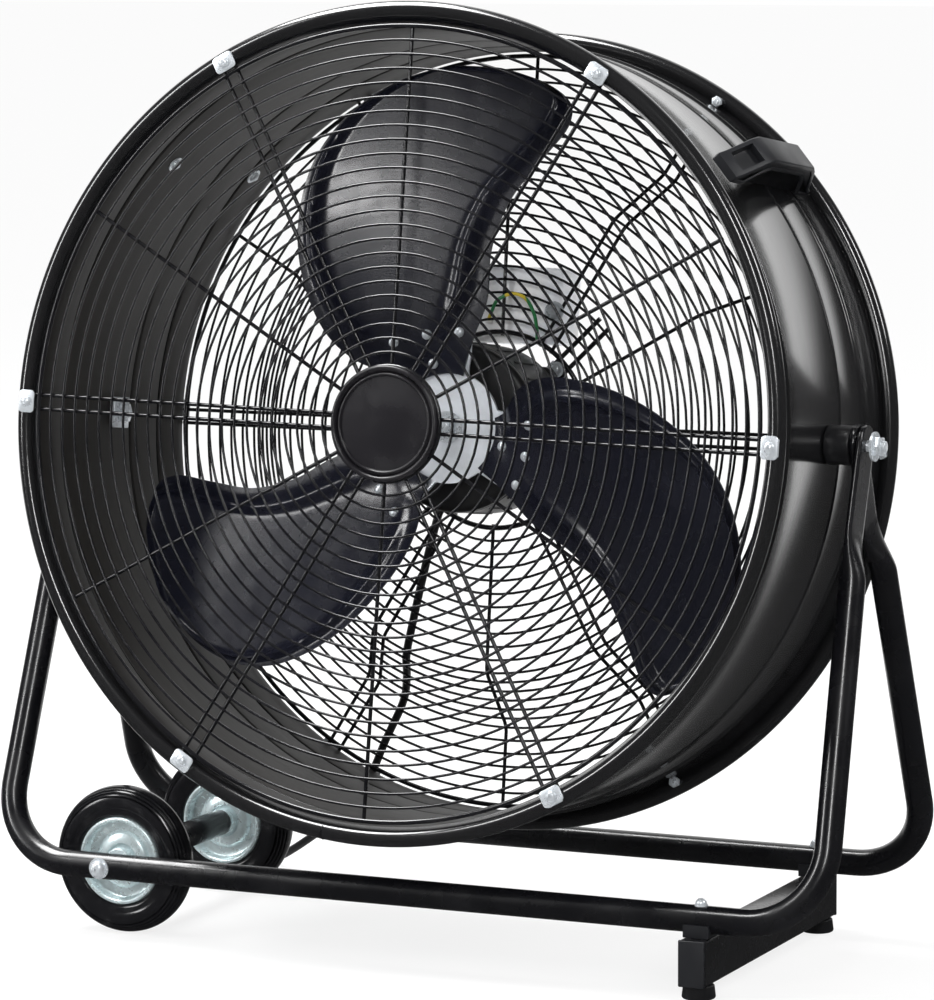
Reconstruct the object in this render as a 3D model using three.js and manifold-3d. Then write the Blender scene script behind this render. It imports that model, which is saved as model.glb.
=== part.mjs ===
// A 24 inch drum fan on a tubular stand with two wheels and a foot bar.
// Millimetres, +Z up, the air blows towards -Y, origin on the floor under the middle of the fan.

import * as THREE from "three";
import { mergeVertices } from "three/addons/utils/BufferGeometryUtils.js";
import Module from "manifold-3d";

const wasm = await Module();
wasm.setup();

// ---------------------------------------------------------------- driving dimensions

const DEGREE = Math.PI / 180;
const GAP = 0.3; // clearance between touching pieces

const CENTRE_SHIFT = 6.2; // moves the stand so that the origin is under the middle of the fan
const PIVOT_HEIGHT = 425.7;
const DRUM_TILT = 7.2 * DEGREE; // the drum looks up a little at rest

const DRUM = { wall: 1.6, radius: 322, bead: 7, rim: 337, front: 136.5, rear: -124.4 };
const RIB = { height: 3, half: 5, places: [94, -25, -75] };
const DRUM_SIDES = 36;

const GUARD = { wire: 3, ring: 3.4, first: 46, last: 317, rings: 9, pair: 11.5, plane: 138.2 };
const GUARD_TURN = -0.92 * DEGREE; // the front guard is bolted on a little out of line with the pivots
const REAR_GUARD = {
  inner: -77.5,
  outer: -124.4,
  bendIn: 203,
  bendOut: 250,
  motorRing: 82,
  stubFrom: 57,
  stubTo: 130,
  light: [120, 157, 192, 228, 272],
};
const BADGE = { radius: 44.8, depth: 6, rib: 3 };
const CLIP = { size: 20, thick: 2, reach: 326.5 };

const BLADES = 3;
const BLADE_SKIN = 1.8;
const RIVET = { radius: 4, height: 2, places: [[78, -5], [77, 14], [80, 33]] }; // radius and degrees
const SPIDER = { thick: 3, disc: 46, arm: 91 };
const SHAFT = { radius: 6, front: 34, rear: -58 };

const MOTOR = { radius: 70, front: 14, rear: -72, canFront: 2, canRear: -60, wall: 3, stud: 65 };
const BOX = { halfWidth: 51, low: 73, high: 137, front: -82, rear: -120, wall: 2, corner: 9 };

const TUBE = 11; // stand tube radius
const STAND = { legTop: 352, legFoot: 363, railY: 129, railZ: 62, bend: 62, plateLength: 84 };
const PLATE = { thick: 5, width: 27, hole: 5.5 };
const WHEEL = { radius: 62, width: 28, rimRadius: 40, x: -266.5, y: 93 };
const AXLE = { radius: 6, sleeve: 11.3, reach: 146 };
const BAR = { x: 265, width: 22, low: 11.3, high: 48.7, half: 148, wall: 1.8 };
const FOOT = { radius: 13.5, top: 11, y: 134 };

const HANDLE = {
  angle: 40.5 * DEGREE,
  width: 24,
  front: 72, // the feet's ends and the grip's ends, ahead of the pivot
  rear: -96,
  gripFront: 38,
  gripRear: -57,
  foot: 13,
  reach: 357,
  thick: 12,
};

const CORD = 3.5; // cord radius
const COIL = { x: -330, y: 185, outer: 46, inner: 30, turns: 4.25, lift: 7.5, loopSteps: 24 };
const PLUG = { length: 34, width: 24, height: 22 };

// ---------------------------------------------------------------- materials

function finish(color, roughness, metalness) {
  return new THREE.MeshStandardMaterial({ color, roughness, metalness });
}

const blackPaint = finish(0x17181a, 0.38, 0.3);
const wirePaint = finish(0x1a1b1e, 0.35, 0.3);
const bladePaint = finish(0x1c1d22, 0.4, 0.4);
const plainAlloy = finish(0x9aa2ad, 0.42, 0.85);
const zinc = finish(0xb9c0c8, 0.3, 0.9);
const rubber = finish(0x141414, 0.8, 0);
const blackPlastic = finish(0x1b1c1f, 0.5, 0);
const greyPlastic = finish(0xb9bfc9, 0.5, 0);
const cordBlack = finish(0x101010, 0.6, 0);
const earthGreen = finish(0x2f9a4a, 0.5, 0);

// ---------------------------------------------------------------- geometry helpers

function signedVolume(geometry) {
  const place = geometry.attributes.position;
  const index = geometry.index.array;
  const [a, b, c] = [new THREE.Vector3(), new THREE.Vector3(), new THREE.Vector3()];
  let volume = 0;
  for (let i = 0; i < index.length; i += 3) {
    a.fromBufferAttribute(place, index[i]);
    b.fromBufferAttribute(place, index[i + 1]);
    c.fromBufferAttribute(place, index[i + 2]);
    volume += a.dot(b.cross(c)) / 6;
  }
  return volume;
}

// Shares vertices, drops triangles with no area and turns the faces outwards.
function closed(geometry) {
  const bare = new THREE.BufferGeometry();
  bare.setAttribute("position", geometry.attributes.position.clone());
  if (geometry.index) bare.setIndex(geometry.index.clone());
  const merged = mergeVertices(bare, 1e-4);
  const old = merged.index.array;
  const kept = [];
  for (let i = 0; i < old.length; i += 3) {
    const [a, b, c] = [old[i], old[i + 1], old[i + 2]];
    if (a !== b && b !== c && c !== a) kept.push(a, b, c);
  }
  merged.setIndex(kept);
  if (signedVolume(merged) < 0) {
    for (let i = 0; i < kept.length; i += 3) [kept[i + 1], kept[i + 2]] = [kept[i + 2], kept[i + 1]];
    merged.setIndex(kept);
  }
  return merged;
}

function toSolid(geometry) {
  const g = closed(geometry);
  return new wasm.Manifold(
    new wasm.Mesh({
      numProp: 3,
      vertProperties: new Float32Array(g.attributes.position.array),
      triVerts: new Uint32Array(g.index.array),
    }),
  );
}

function fromSolid(solid) {
  const mesh = solid.getMesh();
  const geometry = new THREE.BufferGeometry();
  geometry.setAttribute("position", new THREE.BufferAttribute(new Float32Array(mesh.vertProperties), 3));
  geometry.setIndex(Array.from(mesh.triVerts));
  return closed(geometry);
}

function join(...geometries) {
  return fromSolid(geometries.map(toSolid).reduce((all, next) => all.add(next)));
}

function cut(geometry, ...tools) {
  return fromSolid(tools.map(toSolid).reduce((rest, tool) => rest.subtract(tool), toSolid(geometry)));
}

// Revolves a profile of [radius, place along the axis] about the drum's own axis, which runs along Y.
// A positive place is in front of the pivot, where the air leaves.
function turned(profile, sides) {
  const points = profile.map(([radius, ahead]) => new THREE.Vector2(radius, -ahead));
  return closed(new THREE.LatheGeometry([...points, points[0].clone()], sides));
}

// The same about the vertical, for feet; heights go up.
function turnedUp(profile, sides) {
  return closed(turned(profile, sides).rotateX(-Math.PI / 2));
}

function box(width, depth, height, x, y, z) {
  return new THREE.BoxGeometry(width, depth, height).translate(x, y, z);
}

// A cylinder along X, Y or Z.
function rod(radius, length, sides, axis, x, y, z) {
  const rodShape = new THREE.CylinderGeometry(radius, radius, length, sides);
  if (axis === "x") rodShape.rotateZ(Math.PI / 2);
  if (axis === "z") rodShape.rotateX(Math.PI / 2);
  return rodShape.translate(x, y, z);
}

// Joins rings of equal point counts into one skin and closes both ends.
function loft(rings) {
  const count = rings[0].length;
  const points = rings.flat();
  const faces = [];
  for (let ring = 0; ring < rings.length - 1; ring += 1) {
    for (let i = 0; i < count; i += 1) {
      const a = ring * count + i;
      const b = ring * count + ((i + 1) % count);
      faces.push(a, b, a + count, b, b + count, a + count);
    }
  }
  const last = (rings.length - 1) * count;
  for (let i = 1; i < count - 1; i += 1) {
    faces.push(0, i + 1, i);
    faces.push(last, last + i, last + i + 1);
  }
  const geometry = new THREE.BufferGeometry().setFromPoints(points);
  geometry.setIndex(faces);
  return closed(geometry);
}

function roundSection(radius, sides) {
  return new THREE.Shape(
    Array.from({ length: sides }, (_, i) => {
      const angle = (i / sides) * 2 * Math.PI;
      return new THREE.Vector2(radius * Math.cos(angle), radius * Math.sin(angle));
    }),
  );
}

function tube(curve, radius, sides, steps) {
  const options = { extrudePath: curve, steps, bevelEnabled: false };
  return new THREE.ExtrudeGeometry(roundSection(radius, sides), options);
}

function smoothCurve(points) {
  return new THREE.CatmullRomCurve3(points.map((p) => new THREE.Vector3(...p)), false, "centripetal");
}

// A point of the drum's own frame: an angle round the axis, a radius and a place ahead of the pivot.
function drumPoint(angle, radius, ahead) {
  return [radius * Math.cos(angle), -ahead, radius * Math.sin(angle)];
}

// ---------------------------------------------------------------- the assembly

const fan = new THREE.Group();
const stand = new THREE.Group();
stand.position.set(0, CENTRE_SHIFT, 0);
const drum = new THREE.Group();
drum.position.set(0, 0, PIVOT_HEIGHT);
drum.rotation.x = -DRUM_TILT;
stand.add(drum);
fan.add(stand);

function piece(group, name, geometry, material) {
  const mesh = new THREE.Mesh(closed(geometry), material);
  mesh.name = name;
  group.add(mesh);
  return mesh;
}

// ---------------------------------------------------------------- drum shell

// The outer half of a bead rolled round the rim, from its inward end to where it meets the wall.
function beadArc(ahead, towards) {
  const centre = DRUM.rim - DRUM.bead;
  return [235, 310, 20, 95].map((degrees) => {
    const angle = degrees * DEGREE;
    return [centre + DRUM.bead * Math.cos(angle), ahead - towards * DRUM.bead * Math.sin(angle)];
  });
}

function drumShell() {
  const outer = [];
  const inner = [];
  for (const place of RIB.places) {
    outer.push([DRUM.radius, place + RIB.half], [DRUM.radius + RIB.height, place]);
    outer.push([DRUM.radius, place - RIB.half]);
    const bore = DRUM.radius - DRUM.wall;
    inner.push([bore, place + RIB.half - 1], [bore + RIB.height, place], [bore, place - RIB.half + 1]);
  }
  const frontBead = beadArc(DRUM.front, 1);
  const rearBead = beadArc(DRUM.rear, -1);
  const bore = DRUM.radius - DRUM.wall;
  const profile = [
    [bore, DRUM.front - 2],
    ...frontBead,
    [DRUM.radius, DRUM.front - 7.5],
    ...outer,
    [DRUM.radius, DRUM.rear + 7.5],
    ...rearBead.reverse(),
    [bore, DRUM.rear + 2],
    ...inner.reverse(),
  ];
  return turned(profile, DRUM_SIDES);
}

piece(drum, "drum_shell", drumShell(), blackPaint);

// ---------------------------------------------------------------- wire guards

// A ring of wire drawn with three sides, its sharp edge towards the back. A ring set deep is welded
// to every radial wire that it crosses; a ring set proud is welded to the single wires and only
// lies on the pairs.
function wireRing(radius, ahead, size) {
  const half = size / 2;
  const sides = radius < 90 ? 12 : radius < 190 ? 16 : 22;
  const flatFront = [[radius - half, ahead + half], [radius + half, ahead + half]];
  return turned([...flatFront, [radius, ahead - half]], sides);
}

// A radial wire of square section that follows the guard's depth from one radius to another.
function radialWire(angle, offset, from, to, size, depthAt, bends = []) {
  const half = size / 2;
  const corners = [[-half, -half], [half, -half], [half, half], [-half, half]];
  const stations = [from, ...bends.filter((radius) => radius > from && radius < to), to];
  const rings = stations.map((radius) => corners.map(
    ([side, deep]) => new THREE.Vector3(radius, -(depthAt(radius) + deep), offset + side),
  ));
  return loft(rings).rotateY(-angle);
}

const PAIR_SIDES = [-GUARD.pair / 2, GUARD.pair / 2];

// Where a ring's middle sits ahead of the wires' middle: deep rings bite, proud rings rest.
const deepSeat = GUARD.wire / 2 + 0.8;
const proudSeat = (GUARD.wire + GUARD.ring) / 2 + GAP;
const singleLift = 0.9; // single wires stand forward so that the proud rings bite into them

function frontGuard() {
  const flat = () => GUARD.plane;
  const forward = () => GUARD.plane + singleLift;
  const wires = [];
  const pitch = (GUARD.last - GUARD.first) / (GUARD.rings - 1);
  for (let i = 0; i < GUARD.rings; i += 1) {
    const heavy = i === 0 || i === GUARD.rings - 1;
    const seat = heavy ? deepSeat : proudSeat;
    wires.push(wireRing(GUARD.first + i * pitch, GUARD.plane + seat, GUARD.ring + (heavy ? 1 : 0)));
  }
  const [from, to] = [GUARD.first - 1, GUARD.last + 1];
  for (let i = 0; i < 6; i += 1) {
    const angle = i * 60 * DEGREE + GUARD_TURN;
    for (const side of PAIR_SIDES) wires.push(radialWire(angle, side, from, to, GUARD.wire, flat));
    wires.push(radialWire(angle + 30 * DEGREE, 0, from, to, GUARD.wire, forward));
  }
  return join(...wires);
}

// The rear guard is dished: a flat middle that carries the motor, a cone and a flat outer band.
function guardDepth(radius) {
  const { inner, outer, bendIn, bendOut } = REAR_GUARD;
  const share = THREE.MathUtils.clamp((radius - bendIn) / (bendOut - bendIn), 0, 1);
  return THREE.MathUtils.lerp(inner, outer, share);
}

function rearGuard() {
  const { motorRing, stubFrom, stubTo, bendIn, bendOut, light } = REAR_GUARD;
  const bends = [bendIn, bendOut];
  const forward = (radius) => guardDepth(radius) + singleLift;
  const wires = [];
  for (const radius of [motorRing, GUARD.last]) {
    wires.push(wireRing(radius, guardDepth(radius) + deepSeat, GUARD.ring + 1));
  }
  for (const radius of light) {
    wires.push(wireRing(radius, guardDepth(radius) + proudSeat, GUARD.ring));
  }
  const [from, to] = [motorRing - 1, GUARD.last + 1];
  for (let i = 0; i < 6; i += 1) {
    const angle = i * 60 * DEGREE;
    for (const side of PAIR_SIDES) {
      wires.push(radialWire(angle, side, from, to, GUARD.wire, guardDepth, bends));
    }
    wires.push(radialWire(angle + 30 * DEGREE, 0, from, to, GUARD.wire, forward, bends));
  }
  for (let i = 0; i < 4; i += 1) {
    for (const side of PAIR_SIDES) {
      wires.push(radialWire((45 + 90 * i) * DEGREE, side, stubFrom, stubTo, GUARD.wire, guardDepth));
    }
  }
  return join(...wires);
}

piece(drum, "front_grille", frontGuard(), wirePaint);
piece(drum, "rear_grille", rearGuard(), wirePaint);

// ---------------------------------------------------------------- centre badge and guard clips

function centreBadge() {
  const front = GUARD.plane + 4.6;
  const { radius, depth, rib } = BADGE;
  return turned(
    [
      [0, front],
      [radius + 2, front],
      [radius + 2, front + depth - 1.5],
      [radius, front + depth],
      [radius - rib, front + depth],
      [radius - rib - 1.5, front + depth - 1.8],
      [radius - 3 * rib, front + depth - 1.8],
      [radius - 3 * rib - 1.5, front + depth - 0.6],
      [0, front + depth - 0.6],
    ],
    18,
  );
}

piece(drum, "centre_badge", centreBadge(), blackPlastic);

// A pressed square washer bridging the rolled rim and the guard's last ring, with its dome screw.
function guardClip(angle) {
  const base = DRUM.front + DRUM.bead + GAP;
  const plate = box(CLIP.size, CLIP.thick, CLIP.size, CLIP.reach, -(base + CLIP.thick / 2), 0);
  const profile = [[0, base + 0.5], [5, base + 0.5], [5, base + CLIP.thick + 1.2]];
  const dome = turned([...profile, [3, base + CLIP.thick + 2.6], [0, base + CLIP.thick + 3]], 8);
  dome.translate(CLIP.reach, 0, 0);
  return join(plate, dome).rotateY(-angle);
}

for (let i = 0; i < 6; i += 1) {
  piece(drum, `grille_clip_${i + 1}`, guardClip(i * 60 * DEGREE + GUARD_TURN), zinc);
}

// ---------------------------------------------------------------- blades and spider

// Height of the blade's face ahead of the pivot. Angle is counted anticlockwise from the blade's
// middle line, seen from the front: the trailing side stands forward, the leading side lies back.
function bladeFace(radius, angle) {
  const share = radius / 200;
  const pitch = 71 + 48 * (share - 1) - 54 * (share - 1) ** 2;
  return 27.2 + pitch * angle + 16.5 * angle * angle * share;
}

// Leading and trailing outlines, as degrees from the middle line at a few radii.
const leading = smoothCurve([[62, -13, 0], [78, -14, 0], [105, -14.5, 0], [145, -11, 0], [187, -12, 0],
  [229, -16.2, 0], [266, -18.9, 0], [284, -17.2, 0], [292, -12.4, 0], [296, -6, 0]]);
const trailing = smoothCurve([[62, 44, 0], [78, 53, 0], [102, 53.5, 0], [156, 44.5, 0], [205, 35.1, 0],
  [246, 25.8, 0], [272, 16.9, 0], [288, 8.2, 0], [294, 2, 0], [296, -5, 0]]);

function bladeSkin() {
  const rows = 10;
  const across = [0, 0.07, 0.13, 0.35, 0.6, 0.87, 0.93, 1];
  const grids = [0, BLADE_SKIN].map((depth) => {
    const grid = [];
    for (let row = 0; row <= rows; row += 1) {
      const lead = leading.getPoint(row / rows);
      const trail = trailing.getPoint(row / rows);
      for (const share of across) {
        const radius = THREE.MathUtils.lerp(lead.x, trail.x, share);
        const angle = THREE.MathUtils.lerp(lead.y, trail.y, share) * DEGREE;
        const insideRow = row > 2 && row < rows - 1;
        const insideSide = share > 0.1 && share < 0.9;
        const panel = insideRow && insideSide ? 2 : 0; // the pressed panel stands proud of its border
        grid.push(new THREE.Vector3(...drumPoint(angle, radius, bladeFace(radius, angle) + panel - depth)));
      }
    }
    return grid;
  });
  return plateSkin(grids, rows + 1, across.length);
}

// Two matching grids of points become the two faces of a thin plate, joined round their edge.
function plateSkin([front, back], rows, columns) {
  const at = (row, column) => row * columns + column;
  const total = rows * columns;
  const faces = [];
  for (let row = 0; row < rows - 1; row += 1) {
    for (let column = 0; column < columns - 1; column += 1) {
      const [a, b] = [at(row, column), at(row, column + 1)];
      const [c, d] = [at(row + 1, column + 1), at(row + 1, column)];
      faces.push(a, b, c, a, c, d);
      faces.push(total + a, total + c, total + b, total + a, total + d, total + c);
    }
  }
  const edge = [];
  for (let column = 0; column < columns - 1; column += 1) edge.push(at(0, column));
  for (let row = 0; row < rows - 1; row += 1) edge.push(at(row, columns - 1));
  for (let column = columns - 1; column > 0; column -= 1) edge.push(at(rows - 1, column));
  for (let row = rows - 1; row > 0; row -= 1) edge.push(at(row, 0));
  edge.forEach((from, i) => {
    const to = edge[(i + 1) % edge.length];
    faces.push(from, total + from, total + to, from, total + to, to);
  });
  const geometry = new THREE.BufferGeometry().setFromPoints([...front, ...back]);
  geometry.setIndex(faces);
  return closed(geometry);
}

// Rivets stand square on the blade's face where it lies over a spider arm.
function rivetHead(radius, degrees) {
  const angle = degrees * DEGREE;
  const place = new THREE.Vector3(...drumPoint(angle, radius, bladeFace(radius, angle)));
  const ahead = new THREE.Vector3(...drumPoint(angle, radius, bladeFace(radius, angle) + 1));
  const across = new THREE.Vector3(...drumPoint(angle + 0.01, radius, bladeFace(radius, angle + 0.01)));
  const out = new THREE.Vector3(...drumPoint(angle, radius + 1, bladeFace(radius + 1, angle)));
  const normal = out.sub(place).cross(across.sub(place)).normalize();
  if (normal.dot(ahead.sub(place)) < 0) normal.negate();
  const { radius: size, height } = RIVET;
  const dome = new THREE.CylinderGeometry(size * 0.55, size, height + 0.8, 6);
  dome.translate(0, height / 2 - 0.4, 0);
  dome.applyQuaternion(new THREE.Quaternion().setFromUnitVectors(new THREE.Vector3(0, 1, 0), normal));
  return dome.translate(place.x, place.y, place.z);
}

function blade() {
  const heads = RIVET.places.map(([radius, degrees]) => rivetHead(radius, degrees));
  return join(bladeSkin(), ...heads);
}

for (let i = 0; i < BLADES; i += 1) {
  const turn = (90 + (360 / BLADES) * i) * DEGREE;
  piece(drum, `blade_${i + 1}`, blade().rotateY(-turn), bladePaint);
}

// The spider: a disc with three arms that twist to lie behind the blades.
function spider() {
  const steps = 36;
  const shares = [0, 0.4, 0.7, 1];
  const bore = SHAFT.radius + GAP;
  const grids = [0, SPIDER.thick].map((depth) => {
    const grid = [];
    for (let i = 0; i <= steps; i += 1) {
      const around = (i / steps) * 360;
      // degrees from the middle of the nearest arm
      const local = ((((around - 90 - 14) % 120) + 180) % 120) - 60;
      const arm = THREE.MathUtils.smoothstep(36 - Math.abs(local), 0, 16);
      const edge = THREE.MathUtils.lerp(SPIDER.disc, SPIDER.arm, arm);
      for (const share of shares) {
        const radius = THREE.MathUtils.lerp(bore, edge, share);
        const flat = bladeFace(60, 0) - GAP - BLADE_SKIN;
        const twisted = bladeFace(radius, (local + 14) * DEGREE) - GAP - BLADE_SKIN;
        const lift = THREE.MathUtils.smoothstep(radius, 44, 62);
        const ahead = THREE.MathUtils.lerp(flat, twisted, lift) - depth - 0.6;
        grid.push(new THREE.Vector3(...drumPoint(around * DEGREE, radius, ahead)));
      }
    }
    return grid;
  });
  return ringPlate(grids, steps + 1, shares.length);
}

// Like plateSkin, for a plate that closes round on itself: the first and last rows coincide.
function ringPlate([front, back], rows, columns) {
  const at = (row, column) => row * columns + column;
  const total = rows * columns;
  const faces = [];
  for (let row = 0; row < rows - 1; row += 1) {
    for (let column = 0; column < columns - 1; column += 1) {
      const [a, b] = [at(row, column), at(row, column + 1)];
      const [c, d] = [at(row + 1, column + 1), at(row + 1, column)];
      faces.push(a, b, c, a, c, d);
      faces.push(total + a, total + c, total + b, total + a, total + d, total + c);
    }
    for (const [column, flip] of [[0, false], [columns - 1, true]]) {
      const [a, b] = [at(row, column), at(row + 1, column)];
      const quad = [a, b, total + b, a, total + b, total + a];
      if (flip) quad.reverse();
      faces.push(...quad);
    }
  }
  const geometry = new THREE.BufferGeometry().setFromPoints([...front, ...back]);
  geometry.setIndex(faces);
  return closed(geometry);
}

piece(drum, "blade_spider", spider(), plainAlloy);

// ---------------------------------------------------------------- motor

function ringPiece(inner, outer, rear, front, sides) {
  return turned([[inner, front], [outer, front], [outer, rear], [inner, rear]], sides);
}

const spiderRear = 27.2 - GAP - BLADE_SKIN - 0.6 - SPIDER.thick;
piece(drum, "hub_collar", turned(
  [
    [SHAFT.radius + GAP, spiderRear - GAP],
    [16, spiderRear - GAP],
    [16, spiderRear - 3],
    [11, MOTOR.front + GAP],
    [SHAFT.radius + GAP, MOTOR.front + GAP],
  ],
  12,
), plainAlloy);

piece(drum, "motor_shaft", turned(
  [
    [0, SHAFT.front],
    [SHAFT.radius - 1, SHAFT.front],
    [SHAFT.radius, SHAFT.front - 1],
    [SHAFT.radius, SHAFT.rear],
    [0, SHAFT.rear],
  ],
  12,
), zinc);

const canBore = MOTOR.radius - MOTOR.wall;
piece(drum, "motor_can", ringPiece(canBore, MOTOR.radius, MOTOR.canRear, MOTOR.canFront, 24), blackPaint);

// A bell: a dished cover with a bearing boss, a bore for the shaft and a hollow behind it.
function motorBell(edge, face, boss) {
  const inward = Math.sign(edge - face);
  const bore = SHAFT.radius + 0.6;
  const seat = 17 + GAP;
  const inside = edge - inward * GAP;
  return turned(
    [
      [bore, face],
      [boss, face],
      [boss + 4, face + inward * 3],
      [MOTOR.radius - 8, face + inward * 4],
      [MOTOR.radius, edge - inward * 3],
      [MOTOR.radius, inside],
      [MOTOR.radius - 7, inside],
      [seat + 4, face + inward * 7.5],
      [seat + 4, inside],
      [seat, inside],
      [seat, face + inward * 4],
      [bore, face + inward * 4],
    ],
    18,
  );
}

piece(drum, "motor_front_bell", motorBell(MOTOR.canFront, MOTOR.front, 24), blackPaint);

// The rear bell stands on the guard on four pads, each with a stud between a pair of stub wires.
function rearBell() {
  const wireFront = -REAR_GUARD.inner - GUARD.wire / 2 - GAP;
  const padFront = -MOTOR.canRear + 1;
  const padLength = wireFront - padFront;
  const studLength = 18;
  const feet = [];
  for (let i = 0; i < 4; i += 1) {
    const pad = rod(8, padLength, 8, "y", MOTOR.stud, padFront + padLength / 2, 0);
    const stud = rod(3.2, studLength, 6, "y", MOTOR.stud, wireFront - 3 + studLength / 2, 0);
    feet.push(join(pad, stud).rotateY(-(45 + 90 * i) * DEGREE));
  }
  return join(motorBell(MOTOR.canRear, MOTOR.rear + 3, 24), ...feet);
}

piece(drum, "motor_rear_bell", rearBell(), blackPaint);
piece(drum, "stator_core", ringPiece(38, canBore - 1, -46, -12, 20), plainAlloy);
const shaftBore = SHAFT.radius + GAP;
const { front: motorFront, rear: motorRear } = MOTOR;
piece(drum, "rotor_core", ringPiece(shaftBore, 37, -46, -12, 16), plainAlloy);
piece(drum, "bearing_front", ringPiece(shaftBore, 17, motorFront - 13, motorFront - 4 - GAP, 12), zinc);
piece(drum, "bearing_rear", ringPiece(shaftBore, 17, motorRear + 7 + GAP, motorRear + 16, 12), zinc);

// ---------------------------------------------------------------- switch box behind the rear guard

function roundedPlate(halfWidth, low, high, corner, thick) {
  const shape = new THREE.Shape();
  shape.moveTo(-halfWidth + corner, low);
  shape.lineTo(halfWidth - corner, low);
  shape.quadraticCurveTo(halfWidth, low, halfWidth, low + corner);
  shape.lineTo(halfWidth, high - corner);
  shape.quadraticCurveTo(halfWidth, high, halfWidth - corner, high);
  shape.lineTo(-halfWidth + corner, high);
  shape.quadraticCurveTo(-halfWidth, high, -halfWidth, high - corner);
  shape.lineTo(-halfWidth, low + corner);
  shape.quadraticCurveTo(-halfWidth, low, -halfWidth + corner, low);
  const plate = new THREE.ExtrudeGeometry(shape, { depth: thick, bevelEnabled: false, curveSegments: 3 });
  return plate.rotateX(Math.PI / 2); // the outline stands upright and the thickness runs forward
}

function switchBox() {
  const { halfWidth, low, high, front, rear, wall, corner } = BOX;
  const lid = 3;
  const body = roundedPlate(halfWidth, low, high, corner, front - rear - lid - GAP);
  const hollow = roundedPlate(halfWidth - wall, low + wall, high - wall, corner - wall, 60);
  body.translate(0, -rear - lid - GAP, 0);
  hollow.translate(0, -front + wall + 60, 0);
  return cut(body, hollow);
}

function boxLid() {
  const { halfWidth, low, high, rear, corner } = BOX;
  const lid = roundedPlate(halfWidth, low, high, corner, 3).translate(0, -rear, 0);
  return cut(lid, rod(5.6, 20, 12, "y", 0, -rear, (low + high) / 2));
}

const boxMiddle = (BOX.low + BOX.high) / 2;
const lidInside = -BOX.rear - 3 - GAP;
piece(drum, "switch_box", switchBox(), greyPlastic);
piece(drum, "switch_box_lid", boxLid(), greyPlastic);
piece(drum, "speed_switch", join(
  box(26, 20, 26, 0, lidInside - GAP - 10, boxMiddle),
  rod(5, 12, 12, "y", 0, lidInside + 3, boxMiddle),
), blackPlastic);
piece(drum, "run_capacitor", rod(11, 29, 14, "x", -32, 102, boxMiddle + 6), blackPlastic);

// A pointer knob on the switch's stub.
function speedKnob() {
  const start = -BOX.rear + GAP;
  const skirt = rod(17, 3, 16, "y", 0, start + 1.5, 0);
  const grip = rod(12, 12, 12, "y", 0, start + 8, 0);
  const pointer = box(5, 11, 30, 0, start + 8, 0);
  const socket = rod(5.3, 16, 12, "y", 0, start + 1, 0);
  return cut(join(skirt, grip, pointer), socket).translate(0, 0, boxMiddle);
}

piece(drum, "speed_knob", speedKnob(), blackPlastic);

// ---------------------------------------------------------------- wiring on the drum

const glandX = -34;
const glandDeep = 101;
piece(drum, "cable_gland", turnedUp([[0, 0], [9, 0], [9, 5], [7, 6], [5.2, 22], [0, 22]], 12)
  .rotateX(Math.PI).translate(glandX, glandDeep, BOX.low - GAP), blackPlastic);

// The lead runs from the box behind the rear guard to the rim, as points of [x, depth, z].
const leadRoute = [[glandX, glandDeep, BOX.low - 23], [glandX, glandDeep, BOX.low - 36], [-38, 100, 4],
  [-47, 96, -30], [-57, 90, -75], [-65, 87, -117], [-74, 86, -166], [-83, 96, -194], [-91, 116, -213],
  [-100, 131.5, -234], [-117, 134, -271], [-130, 140, -297], [-136, 140.6, -307]];
const leadEnd = leadRoute[leadRoute.length - 1];
const leadBefore = leadRoute[leadRoute.length - 2];
piece(drum, "power_lead", tube(smoothCurve(leadRoute), CORD, 8, 26), cordBlack);

const earthRoute = [[-14, 78.5, 92], [-8.9, 74, 99.6], [-3.4, 70.5, 107.7], [10.8, 69.3, 114],
  [22.8, 69, 110.6], [31.2, 69, 98.7], [34.9, 68, 86.3], [36.5, 67.5, 74.2]];
piece(drum, "earth_wire", tube(smoothCurve(earthRoute), 1.4, 6, 14), earthGreen);

// A clip on the rear rim holds the end of the lead.
function leadClip() {
  const end = new THREE.Vector3(...leadEnd);
  const along = end.clone().sub(new THREE.Vector3(...leadBefore)).normalize();
  const bore = CORD + 0.6;
  const section = [[bore, 0], [bore + 3, 0], [bore + 3, 12], [bore, 12], [bore, 0]];
  const band = new THREE.LatheGeometry(section.map(([r, h]) => new THREE.Vector2(r, h)), 12);
  band.applyQuaternion(new THREE.Quaternion().setFromUnitVectors(new THREE.Vector3(0, 1, 0), along));
  const start = end.clone().addScaledVector(along, -13);
  return closed(band.translate(start.x, start.y, start.z));
}

piece(drum, "lead_clip", leadClip(), blackPlastic);

// ---------------------------------------------------------------- pivots

for (const side of [-1, 1]) {
  const word = side < 0 ? "left" : "right";
  const inner = DRUM.radius + 0.6;
  const spacer = turned([[5.6, 0], [14, 0], [16, 2], [16, 19], [14, 21.4], [5.6, 21.4]], 12)
    .rotateZ(-Math.PI / 2).translate(inner + 21.4, 0, 0);
  const boltHead = box(3, 26, 26, DRUM.radius - DRUM.wall - 4.2, 0, 0);
  const dome = rod(9, 5, 6, "x", DRUM.radius - DRUM.wall - 8, 0, 0);
  const shank = rod(4.9, 56, 12, "x", DRUM.radius - 6 + 28, 0, 0);
  const nut = join(rod(12, 2, 12, "x", 358.9, 0, 0), rod(8.6, 8, 6, "x", 363.6, 0, 0));
  const bolt = join(boltHead, dome, shank);
  const nutPiece = cut(nut, rod(5.2, 30, 12, "x", 362, 0, 0));
  for (const [name, shape, material] of [
    [`pivot_spacer_${word}`, spacer, rubber],
    [`pivot_bolt_${word}`, bolt, zinc],
    [`pivot_nut_${word}`, nutPiece, zinc],
  ]) {
    piece(drum, name, side < 0 ? shape.scale(-1, 1, 1) : shape, material);
  }
}

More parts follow.
